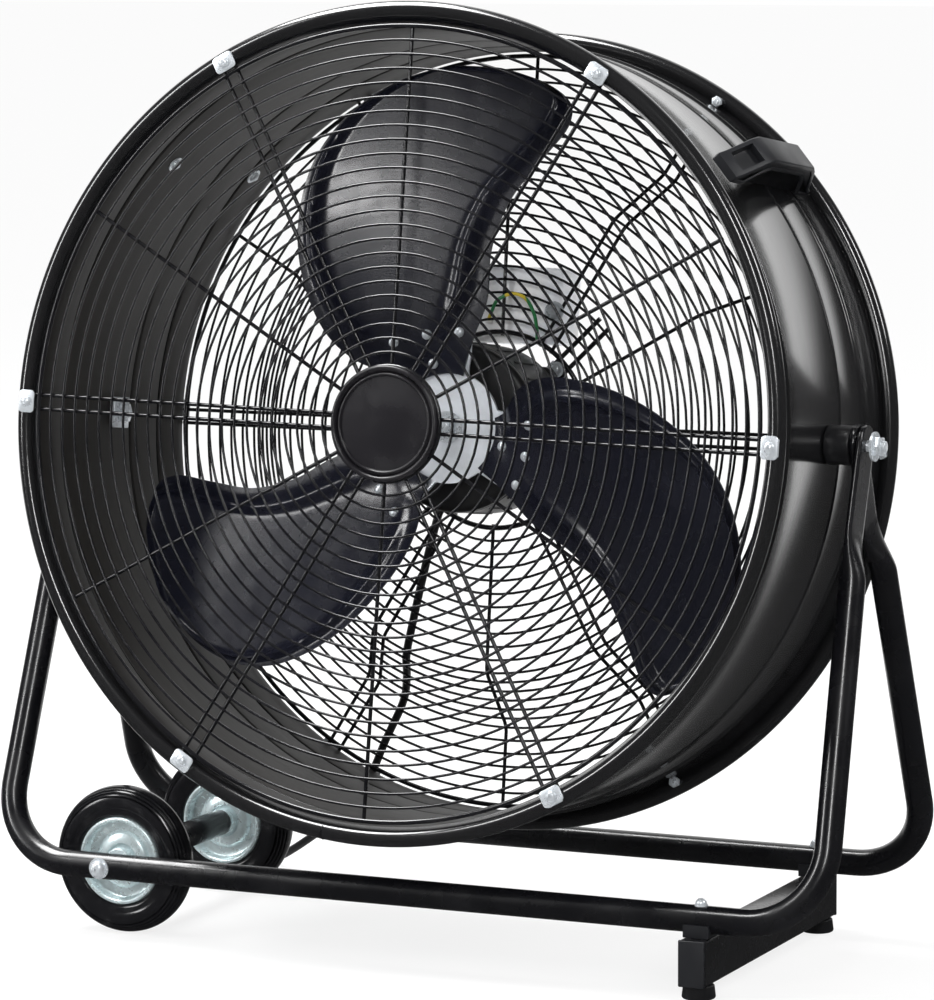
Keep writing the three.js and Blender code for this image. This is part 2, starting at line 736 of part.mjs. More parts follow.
// The shell is drilled for the pivot bolts.
const shellMesh = drum.children.find((mesh) => mesh.name === "drum_shell");
shellMesh.geometry = cut(shellMesh.geometry, rod(5.4, 700, 12, "x", 0, 0, 0));

// ---------------------------------------------------------------- carry handle

function bridgeHandle() {
  const { width, front, rear, gripFront, gripRear, foot, reach, thick } = HANDLE;
  const low = DRUM.radius + RIB.height + 0.4;
  const shape = new THREE.Shape();
  shape.moveTo(rear, low);
  shape.lineTo(rear, low + 7);
  shape.lineTo(rear + foot, low + 10);
  shape.quadraticCurveTo(gripRear - 6, reach - 2, gripRear + 6, reach);
  shape.lineTo(gripFront - 6, reach);
  shape.quadraticCurveTo(gripFront + 6, reach - 2, front - foot, low + 10);
  shape.lineTo(front, low + 7);
  shape.lineTo(front, low);
  shape.lineTo(front - foot - 10, low);
  shape.quadraticCurveTo(gripFront - 4, reach - thick - 1, gripFront - 14, reach - thick);
  shape.lineTo(gripRear + 14, reach - thick);
  shape.quadraticCurveTo(gripRear + 4, reach - thick - 1, rear + foot + 10, low);
  const body = new THREE.ExtrudeGeometry(shape, { depth: width, bevelEnabled: false, curveSegments: 4 });
  body.translate(0, 0, -width / 2);
  body.rotateZ(-Math.PI / 2); // the outline's height becomes the radius and its length the drum's axis
  return body.rotateY(-HANDLE.angle);
}

piece(drum, "handle_right", bridgeHandle(), blackPlastic);
piece(drum, "handle_left", bridgeHandle().scale(-1, 1, 1), blackPlastic);

// ---------------------------------------------------------------- stand frames

// Half of a frame's bent line in its own plane: across, and down from the pivot.
function frameLine(reach) {
  const { legTop, legFoot, bend } = STAND;
  const line = [];
  const straight = reach - bend;
  const throatEnd = STAND.plateLength + 26;
  for (const share of [0.3, 0.65, 1]) {
    const down = THREE.MathUtils.lerp(throatEnd, straight, share);
    line.push([THREE.MathUtils.lerp(legTop, legFoot, share), down]);
  }
  for (const degrees of [22.5, 45, 67.5, 90]) {
    const angle = degrees * DEGREE;
    line.push([legFoot - bend + bend * Math.cos(angle), straight + bend * Math.sin(angle)]);
  }
  return line;
}

// A bent tube whose two ends are pressed flat and drilled for the pivot bolt.
function bentFrame(towards, plateX) {
  const drop = PIVOT_HEIGHT - STAND.railZ;
  const reach = Math.hypot(drop, STAND.railY);
  const lean = Math.atan2(STAND.railY, drop) * towards;
  const half = frameLine(reach);
  const flats = [[-11, 0.55], [-4, 0.9], [8, 1], [STAND.plateLength - 14, 1]];
  const rings = [];
  for (const [down, width] of flats) rings.push(sectionRing(plateX, down, 1, width, 0));
  for (const [x, down] of half) rings.push(sectionRing(x, down, 0, 1, bendAngle(half, x, down)));
  const mirrored = rings.map((ring) => ring.map((p) => new THREE.Vector3(-p.x, p.y, p.z)));
  const tubeShape = loft([...rings, ...mirrored.reverse()]);
  const drilled = cut(tubeShape, rod(PLATE.hole, 800, 8, "x", 0, 0, 0));
  return drilled.rotateX(lean).translate(0, 0, PIVOT_HEIGHT);
}

function bendAngle(line, x, down) {
  const { legFoot, bend } = STAND;
  const straight = line[2][1];
  if (down <= straight) return 0;
  return Math.atan2(down - straight, x - (legFoot - bend));
}

// One ring of the frame's skin. Flat is 1 for the pressed end and 0 for the round tube.
function sectionRing(x, down, flat, width, turn) {
  const sides = 10;
  const across = flat ? PLATE.thick / 2 : TUBE;
  const along = flat ? (PLATE.width / 2) * width : TUBE;
  return Array.from({ length: sides }, (_, i) => {
    const angle = ((i + 0.5) / sides) * 2 * Math.PI;
    const out = THREE.MathUtils.clamp(Math.cos(angle) * (flat ? 1.6 : 1), -1, 1) * across;
    const px = x + out * Math.cos(turn);
    const pz = -down - out * Math.sin(turn);
    return new THREE.Vector3(px, Math.sin(angle) * along, pz);
  });
}

const axleBore = rod(AXLE.radius + 0.5, 400, 8, "y", WHEEL.x, 0, STAND.railZ);
const rearPlateX = 347.2;
const frontPlateX = rearPlateX + PLATE.thick + GAP;
piece(stand, "frame_front", cut(bentFrame(-1, frontPlateX), axleBore), blackPaint);
piece(stand, "frame_rear", cut(bentFrame(1, rearPlateX), axleBore), blackPaint);

// ---------------------------------------------------------------- foot bar

function footBar() {
  const { x, width, low, high, half, wall } = BAR;
  const middle = (low + high) / 2;
  const outer = box(width, 2 * half, high - low, x, 0, middle);
  return cut(outer, box(width - 2 * wall, 2 * half + 10, high - low - 2 * wall, x, 0, middle));
}

piece(stand, "foot_bar", footBar(), blackPaint);

for (const side of [-1, 1]) {
  const word = side < 0 ? "front" : "rear";
  const { x, width, low, high, half, wall } = BAR;
  const middle = (low + high) / 2;
  const plug = box(width - 2 * wall - 0.6, 14, high - low - 2 * wall - 0.6, x, side * (half - 6), middle);
  const plate = box(width, 3, high - low, x, side * (half + GAP + 1.5), middle);
  piece(stand, `bar_cap_${word}`, join(plug, plate), blackPlastic);

  const saddleBlock = box(34, 26, 12.5, x, side * STAND.railY, high + GAP + 6.25);
  const cradle = rod(TUBE + GAP, 60, 16, "x", x, side * STAND.railY, STAND.railZ);
  piece(stand, `rail_saddle_${word}`, cut(saddleBlock, cradle), blackPlastic);

  const { radius: footRadius, top: footTop } = FOOT;
  const footProfile = [[0, 0], [footRadius - 2, 0], [footRadius, 2], [footRadius - 1, footTop], [0, footTop]];
  const footShape = turnedUp(footProfile, 14);
  piece(stand, `rubber_foot_${word}`, footShape.translate(x, side * FOOT.y, 0), rubber);
}

// ---------------------------------------------------------------- wheels

// A solid tyre whose tread has grooves near its edges.
function tyre() {
  const half = WHEEL.width / 2;
  const { radius, rimRadius } = WHEEL;
  return turned(
    [
      [rimRadius + GAP, -half + 3],
      [rimRadius + 6, -half],
      [radius - 5, -half],
      [radius - 1, -half + 3.5],
      [radius - 2.4, -half + 5.5],
      [radius, -half + 7.5],
      [radius, half - 7.5],
      [radius - 2.4, half - 5.5],
      [radius - 1, half - 3.5],
      [radius - 5, half],
      [rimRadius + 6, half],
      [rimRadius + GAP, half - 3],
    ],
    20,
  );
}

// A pressed dish: a lip, a sunk web and a hub round the axle.
function wheelRim() {
  const half = WHEEL.width / 2;
  const lip = WHEEL.rimRadius;
  const web = [[15, half + 1], [19, half - 4], [lip - 7, half - 4]];
  const oneSide = [...web, [lip - 3, half - 0.5], [lip, half - 3]];
  const otherSide = oneSide.map(([radius, place]) => [radius, -place]).reverse();
  const bore = AXLE.radius + 0.4;
  return turned([[bore, half + 1], ...oneSide, ...otherSide, [bore, -half - 1]], 20);
}

for (const side of [-1, 1]) {
  const word = side < 0 ? "front" : "rear";
  piece(stand, `tyre_${word}`, tyre().translate(WHEEL.x, side * WHEEL.y, WHEEL.radius), rubber);
  piece(stand, `wheel_rim_${word}`, wheelRim().translate(WHEEL.x, side * WHEEL.y, WHEEL.radius), zinc);
}

const hexHead = rod(9, 6, 6, "y", WHEEL.x, -AXLE.reach, WHEEL.radius);
const endNut = rod(9, 6, 6, "y", WHEEL.x, AXLE.reach, WHEEL.radius);
const axleShaft = rod(AXLE.radius, 2 * AXLE.reach, 12, "y", WHEEL.x, 0, WHEEL.radius);
piece(stand, "axle_rod", join(axleShaft, hexHead, endNut), zinc);

const sleeveEnd = WHEEL.y - WHEEL.width / 2 - 1 - GAP;
piece(stand, "axle_sleeve", ringPiece(AXLE.radius + 0.4, AXLE.sleeve, -sleeveEnd, sleeveEnd, 14)
  .translate(WHEEL.x, 0, WHEEL.radius), blackPaint);

// ---------------------------------------------------------------- free cord, coil and plug

// The drum's own frame is turned and lifted: a place on it, as a place in the stand's frame.
function fromDrum([x, y, z]) {
  const [c, s] = [Math.cos(DRUM_TILT), Math.sin(DRUM_TILT)];
  return [x, y * c + z * s, PIVOT_HEIGHT - y * s + z * c];
}

const FLOOR = CORD + 0.05;

// The loops lie in two layers: they spiral in on the floor, climb, and spiral out on top.
function coilPoint(share) {
  const { x, y, inner, outer, turns, lift } = COIL;
  const made = share * turns;
  const half = turns / 2;
  const radius = THREE.MathUtils.lerp(inner, outer, Math.abs(made - half) / half);
  const climb = THREE.MathUtils.smoothstep(made, half - 0.25, half + 0.25);
  const angle = Math.PI / 2 + made * 2 * Math.PI;
  const [across, along] = [radius * Math.cos(angle), radius * Math.sin(angle)];
  return new THREE.Vector3(x + across, y + along, FLOOR + lift * climb);
}

// A tube skinned straight on its points, so that the loops keep exactly their own places.
function loopTube(points, radius, sides) {
  const up = new THREE.Vector3(0, 0, 1);
  return loft(points.map((point, i) => {
    const next = points[Math.min(i + 1, points.length - 1)];
    const along = next.clone().sub(points[Math.max(i - 1, 0)]).normalize();
    const side = along.clone().cross(up).normalize();
    const top = side.clone().cross(along);
    return Array.from({ length: sides }, (_, k) => {
      const angle = ((k + 0.5) / sides) * 2 * Math.PI;
      const across = side.clone().multiplyScalar(radius * Math.cos(angle));
      return point.clone().add(across).addScaledVector(top, radius * Math.sin(angle));
    });
  }));
}

// The least gap between loops: nearest middle-line points more than half a turn apart, less a diameter.
function leastGap(points) {
  let nearest = Infinity;
  for (let i = 0; i < points.length; i += 1) {
    for (let k = i + COIL.loopSteps / 2; k < points.length; k += 1) {
      nearest = Math.min(nearest, points[i].distanceTo(points[k]));
    }
  }
  return nearest - 2 * CORD;
}

// The coil's ends run straight for one cord diameter: in from +X, and out towards the front.
const coilSteps = Math.round(COIL.turns * COIL.loopSteps);
const coilLoops = Array.from({ length: coilSteps + 1 }, (_, i) => coilPoint(i / coilSteps));
const coilIn = coilLoops[0].clone().add(new THREE.Vector3(2 * CORD, 0, 0));
const coilOut = coilLoops[coilSteps].clone().add(new THREE.Vector3(0, -2 * CORD, 0));
const coilLine = [coilIn, ...coilLoops, coilOut];
console.log(`least gap between the cord's loops: ${leastGap(coilLine).toFixed(2)} mm`);
piece(stand, "cord_coil", loopTube(coilLine, CORD, 6), cordBlack);

const clipEnd = new THREE.Vector3(...fromDrum(leadEnd));
const clipWay = clipEnd.clone().sub(new THREE.Vector3(...fromDrum(leadBefore))).normalize();
const cordStart = clipEnd.clone().addScaledVector(clipWay, GAP);
const cordRoute = [
  cordStart.toArray(),
  cordStart.clone().addScaledVector(clipWay, 10).toArray(),
  [-160, 151, 82],
  [-180, 158, 67],
  [-202, 166, 51],
  [-224, 174, 36],
  [-246, 183, 22],
  [-266, 194, 11],
  [-284, 208, 5],
  [-300, 221, FLOOR],
  [coilIn.x + GAP + 10, coilIn.y, FLOOR],
  [coilIn.x + GAP, coilIn.y, FLOOR],
];
piece(stand, "power_cord", tube(smoothCurve(cordRoute), CORD, 8, 18), cordBlack);

// A moulded plug lying beside the coil, with its strain relief, two flat blades and an earth pin.
// It is made pointing along +X from the end of the cord.
function plug() {
  const { length, width, height } = PLUG;
  const reliefLength = 22;
  const relief = new THREE.CylinderGeometry(7.5, 4.4, reliefLength + 2, 10).rotateZ(-Math.PI / 2);
  relief.translate(reliefLength / 2 + 1, 0, 0);
  const half = width / 2;
  const stations = [[reliefLength, 0.6], [reliefLength + 7, 1], [reliefLength + length, 1]];
  const body = loft(stations.map(([x, scale]) => {
    const outline = [[-half, -0.3], [-half, 0.3], [-0.6 * half, 0.5], [0.6 * half, 0.5]];
    const ring = [...outline, [half, 0.3], [half, -0.3], [0.6 * half, -0.5], [-0.6 * half, -0.5]];
    return ring.map(([y, z]) => new THREE.Vector3(x, y * scale, z * height * scale));
  }));
  const face = reliefLength + length;
  const blades = [-6.3, 6.3].map((y) => box(18, 1.6, 6.3, face + 8, y, 3));
  const pin = rod(2.4, 20, 8, "x", face + 9, 0, -5.5);
  return join(relief, body, ...blades, pin);
}

const plugHeight = Math.max(coilOut.z, PLUG.height / 2 + 0.1);
piece(stand, "mains_plug", plug().rotateZ(-Math.PI / 2)
  .translate(coilOut.x, coilOut.y - GAP, plugHeight), blackPlastic);

export default fan;
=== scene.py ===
"""A drum fan on a wheeled tube stand, dressed for a plain studio picture.

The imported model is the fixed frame. Each class below makes one sub-assembly's fine meshes in
millimetres, in the drum's own frame or the stand's, lays them over the frame's nodes and gives
them their finish. The drum's own frame has X to the right, Y to the back along the drum's axis
and Z up; "ahead" is a distance in front of the pivot, so it is minus Y.
"""

from __future__ import annotations
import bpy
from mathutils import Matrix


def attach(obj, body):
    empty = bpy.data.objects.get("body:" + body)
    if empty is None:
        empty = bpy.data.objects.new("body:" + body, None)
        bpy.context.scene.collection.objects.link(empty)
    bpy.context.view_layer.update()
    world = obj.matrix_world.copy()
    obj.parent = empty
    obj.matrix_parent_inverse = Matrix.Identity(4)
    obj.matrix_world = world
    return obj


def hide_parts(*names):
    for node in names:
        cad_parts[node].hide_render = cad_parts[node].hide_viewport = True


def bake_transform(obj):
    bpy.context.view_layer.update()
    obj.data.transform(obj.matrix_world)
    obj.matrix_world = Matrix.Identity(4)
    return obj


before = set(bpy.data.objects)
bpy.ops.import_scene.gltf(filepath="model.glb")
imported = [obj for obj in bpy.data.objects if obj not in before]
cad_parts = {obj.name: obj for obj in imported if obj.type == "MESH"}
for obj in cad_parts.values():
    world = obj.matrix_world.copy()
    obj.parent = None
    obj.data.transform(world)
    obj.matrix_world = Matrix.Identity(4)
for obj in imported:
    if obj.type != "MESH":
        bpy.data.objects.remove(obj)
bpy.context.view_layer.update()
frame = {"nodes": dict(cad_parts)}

import logging
import math
from dataclasses import dataclass, field
from enum import Enum
from typing import Iterable, Sequence

import bmesh
import bpy
from mathutils import Matrix, Vector

LOG = logging.getLogger("drum_fan")

Mesh = bmesh.types.BMesh
Material = bpy.types.Material
Points = list[tuple[float, float]]
Profile = Sequence[tuple[float, float]]

MILLIMETRE = 0.001
TURN = 2 * math.pi

# ------------------------------------------------------------------ driving dimensions, in mm

PIVOT_HEIGHT = 425.7
CENTRE_SHIFT = 6.2
DRUM_TILT = math.radians(7.2)

DRUM_RADIUS = 322.0
DRUM_WALL = 1.6
BEAD_RADIUS = 7.0
BEAD_CENTRE = 330.0
FRONT_RIM = 136.5
REAR_RIM = -124.4

GUARD_PLANE = 138.2
GUARD_TURN = math.radians(-0.92)
GUARD_LAST = 317.0
PAIR_HALF = 5.75
REAR_INNER = -77.5
REAR_BEND_IN = 203.0
REAR_BEND_OUT = 250.0
MOTOR_RING = 82.0

CORD_RADIUS = 3.5
RAIL_HEIGHT = 62.0
RAIL_DEPTH = 129.0
WHEEL_X = -266.5
WHEEL_DEPTH = 93.0
BAR_X = 265.0


class Place(Enum):
    """The two frames that pieces are built in, in millimetres."""

    DRUM = "drum"
    STAND = "stand"

    @property
    def matrix(self) -> Matrix:
        """The way from this frame to the model's, in metres.

        Returns:
            The matrix, from millimetres to metres.
        """
        scale = Matrix.Scale(MILLIMETRE, 4)
        depth = CENTRE_SHIFT * MILLIMETRE
        if self is Place.STAND:
            return Matrix.Translation((0, depth, 0)) @ scale
        pivot = Matrix.Translation((0, depth, PIVOT_HEIGHT * MILLIMETRE))
        return pivot @ Matrix.Rotation(-DRUM_TILT, 4, "X") @ scale


class Body(Enum):
    """The moving bodies of the model."""

    STAND = "stand"
    DRUM = "drum"
    ROTOR = "rotor"
    KNOB = "knob"
    WHEEL_FRONT = "wheel_front"
    WHEEL_REAR = "wheel_rear"


# ------------------------------------------------------------------ shader expressions


class Expr:
    """A number socket that takes part in Python arithmetic."""

    def __init__(self, graph: "Graph", socket: bpy.types.NodeSocket) -> None:
        """Keeps the socket and the graph that it belongs to."""
        self.graph = graph
        self.socket = socket

    def _math(self, operation: str, *values: "Expr | float") -> "Expr":
        """Adds one Math node.

        Args:
            operation: the Math node's operation.
            values: its operands, in order.

        Returns:
            The node's result.
        """
        return self.graph.node("ShaderNodeMath", {"operation": operation}, dict(enumerate(values)))

    def __add__(self, other: "Expr | float") -> "Expr":
        """Sum."""
        return self._math("ADD", self, other)

    def __radd__(self, other: float) -> "Expr":
        """Sum with a number on the left."""
        return self._math("ADD", other, self)

    def __sub__(self, other: "Expr | float") -> "Expr":
        """Difference."""
        return self._math("SUBTRACT", self, other)

    def __rsub__(self, other: float) -> "Expr":
        """Difference from a number on the left."""
        return self._math("SUBTRACT", other, self)

    def __mul__(self, other: "Expr | float") -> "Expr":
        """Product."""
        return self._math("MULTIPLY", self, other)

    def __rmul__(self, other: float) -> "Expr":
        """Product with a number on the left."""
        return self._math("MULTIPLY", other, self)

    def root(self) -> "Expr":
        """Square root."""
        return self._math("SQRT", self)

    def sine(self) -> "Expr":
        """Sine of an angle in radians."""
        return self._math("SINE", self)

    def around(self, other: "Expr") -> "Expr":
        """The angle of a direction whose two parts are this value and another."""
        return self._math("ARCTAN2", self, other)

    def ramp(self, low: float, high: float, start: float = 0.0, end: float = 1.0) -> "Expr":
        """Moves smoothly from start to end as the value goes from low to high.

        Args:
            low: the value at which the result is start.
            high: the value at which the result is end.
            start: the result up to low.
            end: the result from high on.

        Returns:
            The eased value.
        """
        values = {"Value": self, "From Min": low, "From Max": high, "To Min": start, "To Max": end}
        return self.graph.node("ShaderNodeMapRange", {"interpolation_type": "SMOOTHSTEP"}, values)


class Graph:
    """A node tree that is built by expressions."""

    def __init__(self, tree: bpy.types.NodeTree) -> None:
        """Keeps the tree."""
        self.tree = tree

    def find(self, kind: str) -> bpy.types.Node:
        """The tree's own node of a kind."""
        return next(n for n in self.tree.nodes if n.type == kind)

    def node(
        self,
        kind: str,
        settings: dict[str, object] | None = None,
        values: dict[str | int, object] | None = None,
        output: str | int = 0,
    ) -> Expr:
        """Adds a node.

        Args:
            kind: the node's type name.
            settings: properties that are set before the sockets.
            values: numbers, vectors, expressions or sockets for its inputs.
            output: which output comes back.

        Returns:
            The chosen output as an expression.
        """
        made = self.tree.nodes.new(kind)
        for key, value in (settings or {}).items():
            if key == "stops":
                self._set_stops(made.color_ramp, value)
            else:
                setattr(made, key, value)
        for key, value in (values or {}).items():
            self.join(value, made.inputs[key])
        return Expr(self, made.outputs[output])

    @staticmethod
    def _set_stops(ramp: bpy.types.ColorRamp, stops: Sequence[tuple[float, Sequence[float]]]) -> None:
        """Gives a colour ramp its stops, as pairs of place and colour.

        Args:
            ramp: the colour ramp.
            stops: pairs of place and colour.
        """
        while len(ramp.elements) < len(stops):
            ramp.elements.new(0.5)
        for element, (place, color) in zip(ramp.elements, stops):
            element.position = place
            element.color = (*color, 1.0)

    def join(self, value: object, socket: bpy.types.NodeSocket) -> None:
        """Links an expression to a socket, or sets the socket's own value.

        Args:
            value: an expression, or a plain value.
            socket: the input.
        """
        if isinstance(value, Expr):
            self.tree.links.new(value.socket, socket)
        else:
            socket.default_value = value

    def parts(self, vector: Expr) -> tuple[Expr, Expr, Expr]:
        """The three parts of a vector."""
        split = self.node("ShaderNodeSeparateXYZ", {}, {0: vector})
        return tuple(Expr(self, part) for part in split.socket.node.outputs)


class Shader(Graph):
    """One material's node tree."""

    def __init__(self, name: str) -> None:
        """Makes a material with a bare Principled surface.

        Args:
            name: the material's name.
        """
        self.material = bpy.data.materials.new(name)
        self.material.use_nodes = True
        super().__init__(self.material.node_tree)
        self.surface = self.find("BSDF_PRINCIPLED")

    def place(self, frame_of: Place | None = None, scale: Sequence[float] = (1, 1, 1)) -> Expr:
        """Object coordinates, turned into a frame's own millimetres where one is named.

        Args:
            frame_of: the frame whose axes the pattern follows, or None for the model's metres.
            scale: stretches the pattern along each axis.

        Returns:
            The coordinates.
        """
        here = self.node("ShaderNodeTexCoord", {}, {}, "Object")
        if frame_of is None:
            return self.node("ShaderNodeMapping", {}, {"Vector": here, "Scale": scale})
        back = frame_of.matrix.inverted()
        moved = {"Vector": here, "Location": back.translation, "Rotation": back.to_euler(),
                 "Scale": back.to_scale()}
        inside = self.node("ShaderNodeMapping", {}, moved)
        return self.node("ShaderNodeMapping", {}, {"Vector": inside, "Scale": scale})

    def noise(self, where: Expr, scale: float, detail: float = 3.0, rough: float = 0.5) -> Expr:
        """Cloudy noise between 0 and 1."""
        values = {"Vector": where, "Scale": scale, "Detail": detail, "Roughness": rough}
        return self.node("ShaderNodeTexNoise", {}, values)

    def cells(self, where: Expr, scale: float) -> Expr:
        """Distance to the nearest of many scattered points."""
        return self.node("ShaderNodeTexVoronoi", {}, {"Vector": where, "Scale": scale})

    def blend(self, share: Expr, first: Sequence[float], second: "Sequence[float] | Expr") -> Expr:
        """Mixes two colours.

        Args:
            share: 0 gives the first colour and 1 the second.
            first: a colour or a colour expression.
            second: a colour or a colour expression.

        Returns:
            The mixed colour.
        """
        ends = [value if isinstance(value, Expr) else (*value, 1.0) for value in (first, second)]
        return self.node("ShaderNodeMix", {"data_type": "RGBA"}, {0: share, 6: ends[0], 7: ends[1]}, 2)

    def bump(self, height: Expr, depth: float, strength: float = 1.0) -> None:
        """Raises the surface by a height pattern.

        Args:
            height: the pattern, between 0 and 1.
            depth: what a height of 1 stands for, in millimetres.
            strength: the share of the effect that is used.
        """
        values = {"Height": height, "Distance": depth * MILLIMETRE, "Strength": strength}
        self.join(self.node("ShaderNodeBump", {}, values), self.surface.inputs["Normal"])

    def set(self, **values: object) -> None:
        """Sets the surface's sockets; an underscore in a name stands for a space."""
        for key, value in values.items():
            if key.endswith("Color") and not isinstance(value, Expr):
                value = (*value, 1.0)
            self.join(value, self.surface.inputs[key.replace("_", " ")])


# ------------------------------------------------------------------ finishes


class Slot(Enum):
    """The record's material slots."""

    SHELL = "shell_paint"
    WIRE = "wire_paint"
    FRAME = "frame_paint"
    BLADE = "blade_paint"
    MOTOR = "motor_paint"
    ALLOY = "plain_alloy"
    ZINC = "zinc_plate"
    CORE = "core_steel"
    FOOT = "foot_rubber"
    TYRE = "tyre_rubber"
    PLASTIC = "black_plastic"
    BOX = "box_plastic"
    CORD = "cord_sheath"
    EARTH = "earth_sheath"


@dataclass(frozen=True)
class PowderCoat:
    """Black powder coat: a fine orange peel with a soft sheen and a little dust.

    Attributes:
        name: the material's name.
        color: the paint's own colour.
        roughness: how dull the paint is.
        peel: size of the orange peel, in mm.
        coat: share of clear gloss over the paint.
    """

    name: str
    color: tuple[float, float, float]
    roughness: float
    peel: float = 1.6
    coat: float = 0.0

    def build(self) -> Material:
        """Makes the material.

        Returns:
            The material.
        """
        shader = Shader(self.name)
        where = shader.place()
        dust = shader.noise(where, 14.0, 5.0).ramp(0.45, 0.75)
        worn = tuple(part * 1.25 + 0.003 for part in self.color)
        shader.set(
            Base_Color=shader.blend(dust, self.color, worn),
            Roughness=shader.noise(where, 40.0, 4.0).ramp(
                0.3, 0.7, self.roughness - 0.04, self.roughness + 0.06),
            Specular_IOR_Level=0.5,
            Coat_Weight=self.coat,
            Coat_Roughness=0.12,
        )
        shader.bump(shader.noise(where, 1 / (self.peel * MILLIMETRE), 2.0), 0.03, 0.6)
        return shader.material


@dataclass(frozen=True)
class DrumPaint:
    """The drum's two sides: satin black outside, a matte and warmer grey inside.

    Attributes:
        outside: the colour of the outer side.
        inside: the colour of the inner side.
    """

    outside: tuple[float, float, float] = (0.006, 0.006, 0.0065)
    inside: tuple[float, float, float] = (0.014, 0.0125, 0.011)

    def build(self) -> Material:
        """Makes the material.

        Returns:
            The material.
        """
        shader = Shader("drum_paint")
        own = shader.place(Place.DRUM)
        x, depth, z = shader.parts(own)
        radius = (x * x + z * z).root()
        middle = DRUM_RADIUS - DRUM_WALL / 2
        within = 1 - radius.ramp(middle - 0.3, middle + 0.3)
        inner_length = 1 - depth.ramp(-FRONT_RIM + 4, -FRONT_RIM)
        within = within * inner_length
        rolled = shader.node("ShaderNodeCombineXYZ", {}, {0: z.around(x) * 3.0, 1: depth * 0.5, 2: 0.0})
        streaks = shader.noise(rolled, 0.9, 5.0, 0.6).ramp(0.35, 0.7)
        where = shader.place()
        cloud = shader.noise(where, 7.0, 5.0).ramp(0.35, 0.75)
        dull = tuple(part * 1.3 for part in self.inside)
        shader.set(
            Base_Color=shader.blend(within, self.outside, shader.blend(cloud, self.inside, dull)),
            Roughness=within.ramp(0.0, 1.0, 0.17, 0.5) + streaks * 0.05,
            Specular_IOR_Level=0.5,
            Coat_Weight=(1 - within) * 0.8,
            Coat_Roughness=0.12,
        )
        peel = shader.noise(where, 650.0, 2.0)
        shader.bump(peel + streaks * 0.6, 0.025, 0.55)
        return shader.material


@dataclass(frozen=True)
class ZincPlate:
    """Bright zinc plate with faint clouds and fine scratches.

    Attributes:
        name: the material's name.
        color: the metal's tint.
        roughness: how dull the plate is.
        rays: how strongly pressed creases run out from each wheel's middle, 0 for none.
    """

    name: str = "zinc_plate"
    color: tuple[float, float, float] = (0.7, 0.74, 0.78)
    roughness: float = 0.24
    rays: float = 0.0

    def build(self) -> Material:
        """Makes the material.

        Returns:
            The material.
        """
        shader = Shader(self.name)
        where = shader.place()
        cloud = shader.noise(where, 90.0, 4.0, 0.6).ramp(0.3, 0.7)
        darker = tuple(part * 0.72 for part in self.color)
        height = shader.noise(where, 420.0, 3.0) * 0.4 + cloud * 0.3
        if self.rays > 0:
            x, _depth, z = shader.parts(shader.place(Place.STAND))
            across = x - WHEEL_X
            up = z - RAIL_HEIGHT
            angle = up.around(across)
            radius = (across * across + up * up).root()
            polar = shader.node("ShaderNodeCombineXYZ", {}, {0: angle * 5.0, 1: radius * 0.06, 2: 0.0})
            height = height + shader.noise(polar, 2.2, 3.0, 0.7) * self.rays
        shader.set(
            Base_Color=shader.blend(cloud, self.color, darker),
            Metallic=0.6,
            Roughness=cloud.ramp(0.0, 1.0, self.roughness, self.roughness + 0.12),
        )
        shader.bump(height, 0.12, 0.5)
        return shader.material


@dataclass(frozen=True)
class PlainAlloy:
    """Bare pressed aluminium with fine rolling lines."""

    color: tuple[float, float, float] = (0.78, 0.81, 0.86)

    def build(self) -> Material:
        """Makes the material.

        Returns:
            The material.
        """
        shader = Shader("plain_alloy")
        lines = shader.noise(shader.place(Place.DRUM, (0.25, 4.0, 6.0)), 1.0, 4.0, 0.6)
        cloud = shader.noise(shader.place(), 30.0, 4.0).ramp(0.3, 0.75)
        darker = tuple(part * 0.7 for part in self.color)
        shader.set(
            Base_Color=shader.blend(cloud, self.color, darker),
            Metallic=0.6,
            Roughness=lines.ramp(0.2, 0.8, 0.36, 0.55),
        )
        shader.bump(lines, 0.02, 0.5)
        return shader.material


@dataclass(frozen=True)
class Rubber:
    """Moulded rubber, slightly shiny where it is rubbed and dusty elsewhere.

    Attributes:
        name: the material's name.
        color: the rubber's colour.
        roughness: how dull it is.
    """

    name: str
    color: tuple[float, float, float] = (0.006, 0.006, 0.007)
    roughness: float = 0.16

    def build(self) -> Material:
        """Makes the material.

        Returns:
            The material.
        """
        shader = Shader(self.name)
        where = shader.place()
        dust = shader.noise(where, 60.0, 6.0, 0.6).ramp(0.5, 0.8)
        grey = tuple(part + 0.02 for part in self.color)
        shader.set(
            Base_Color=shader.blend(dust * 0.6, self.color, grey),
            Roughness=dust.ramp(0.0, 1.0, self.roughness, self.roughness + 0.2),
            Specular_IOR_Level=0.45,
        )
        shader.bump(shader.noise(where, 900.0, 3.0), 0.04, 0.5)
        return shader.material


@dataclass(frozen=True)
class MouldedPlastic:
    """Moulded plastic with a fine spark-eroded grain.

    Attributes:
        name: the material's name.
        color: the plastic's colour.
        roughness: how dull it is.
        grain: grains per metre.
        depth: how deep the grain is, in mm.
    """

    name: str
    color: tuple[float, float, float]
    roughness: float = 0.45
    grain: float = 1400.0
    depth: float = 0.05

    def build(self) -> Material:
        """Makes the material.

        Returns:
            The material.
        """
        shader = Shader(self.name)
        where = shader.place()
        cloud = shader.noise(where, 25.0, 4.0).ramp(0.35, 0.7)
        paler = tuple(min(1.0, part * 1.12 + 0.003) for part in self.color)
        shader.set(
            Base_Color=shader.blend(cloud, self.color, paler),
            Roughness=cloud.ramp(0.0, 1.0, self.roughness, self.roughness + 0.08),
            Specular_IOR_Level=0.45,
        )
        shader.bump(shader.cells(where, self.grain), self.depth, 0.4)
        return shader.material


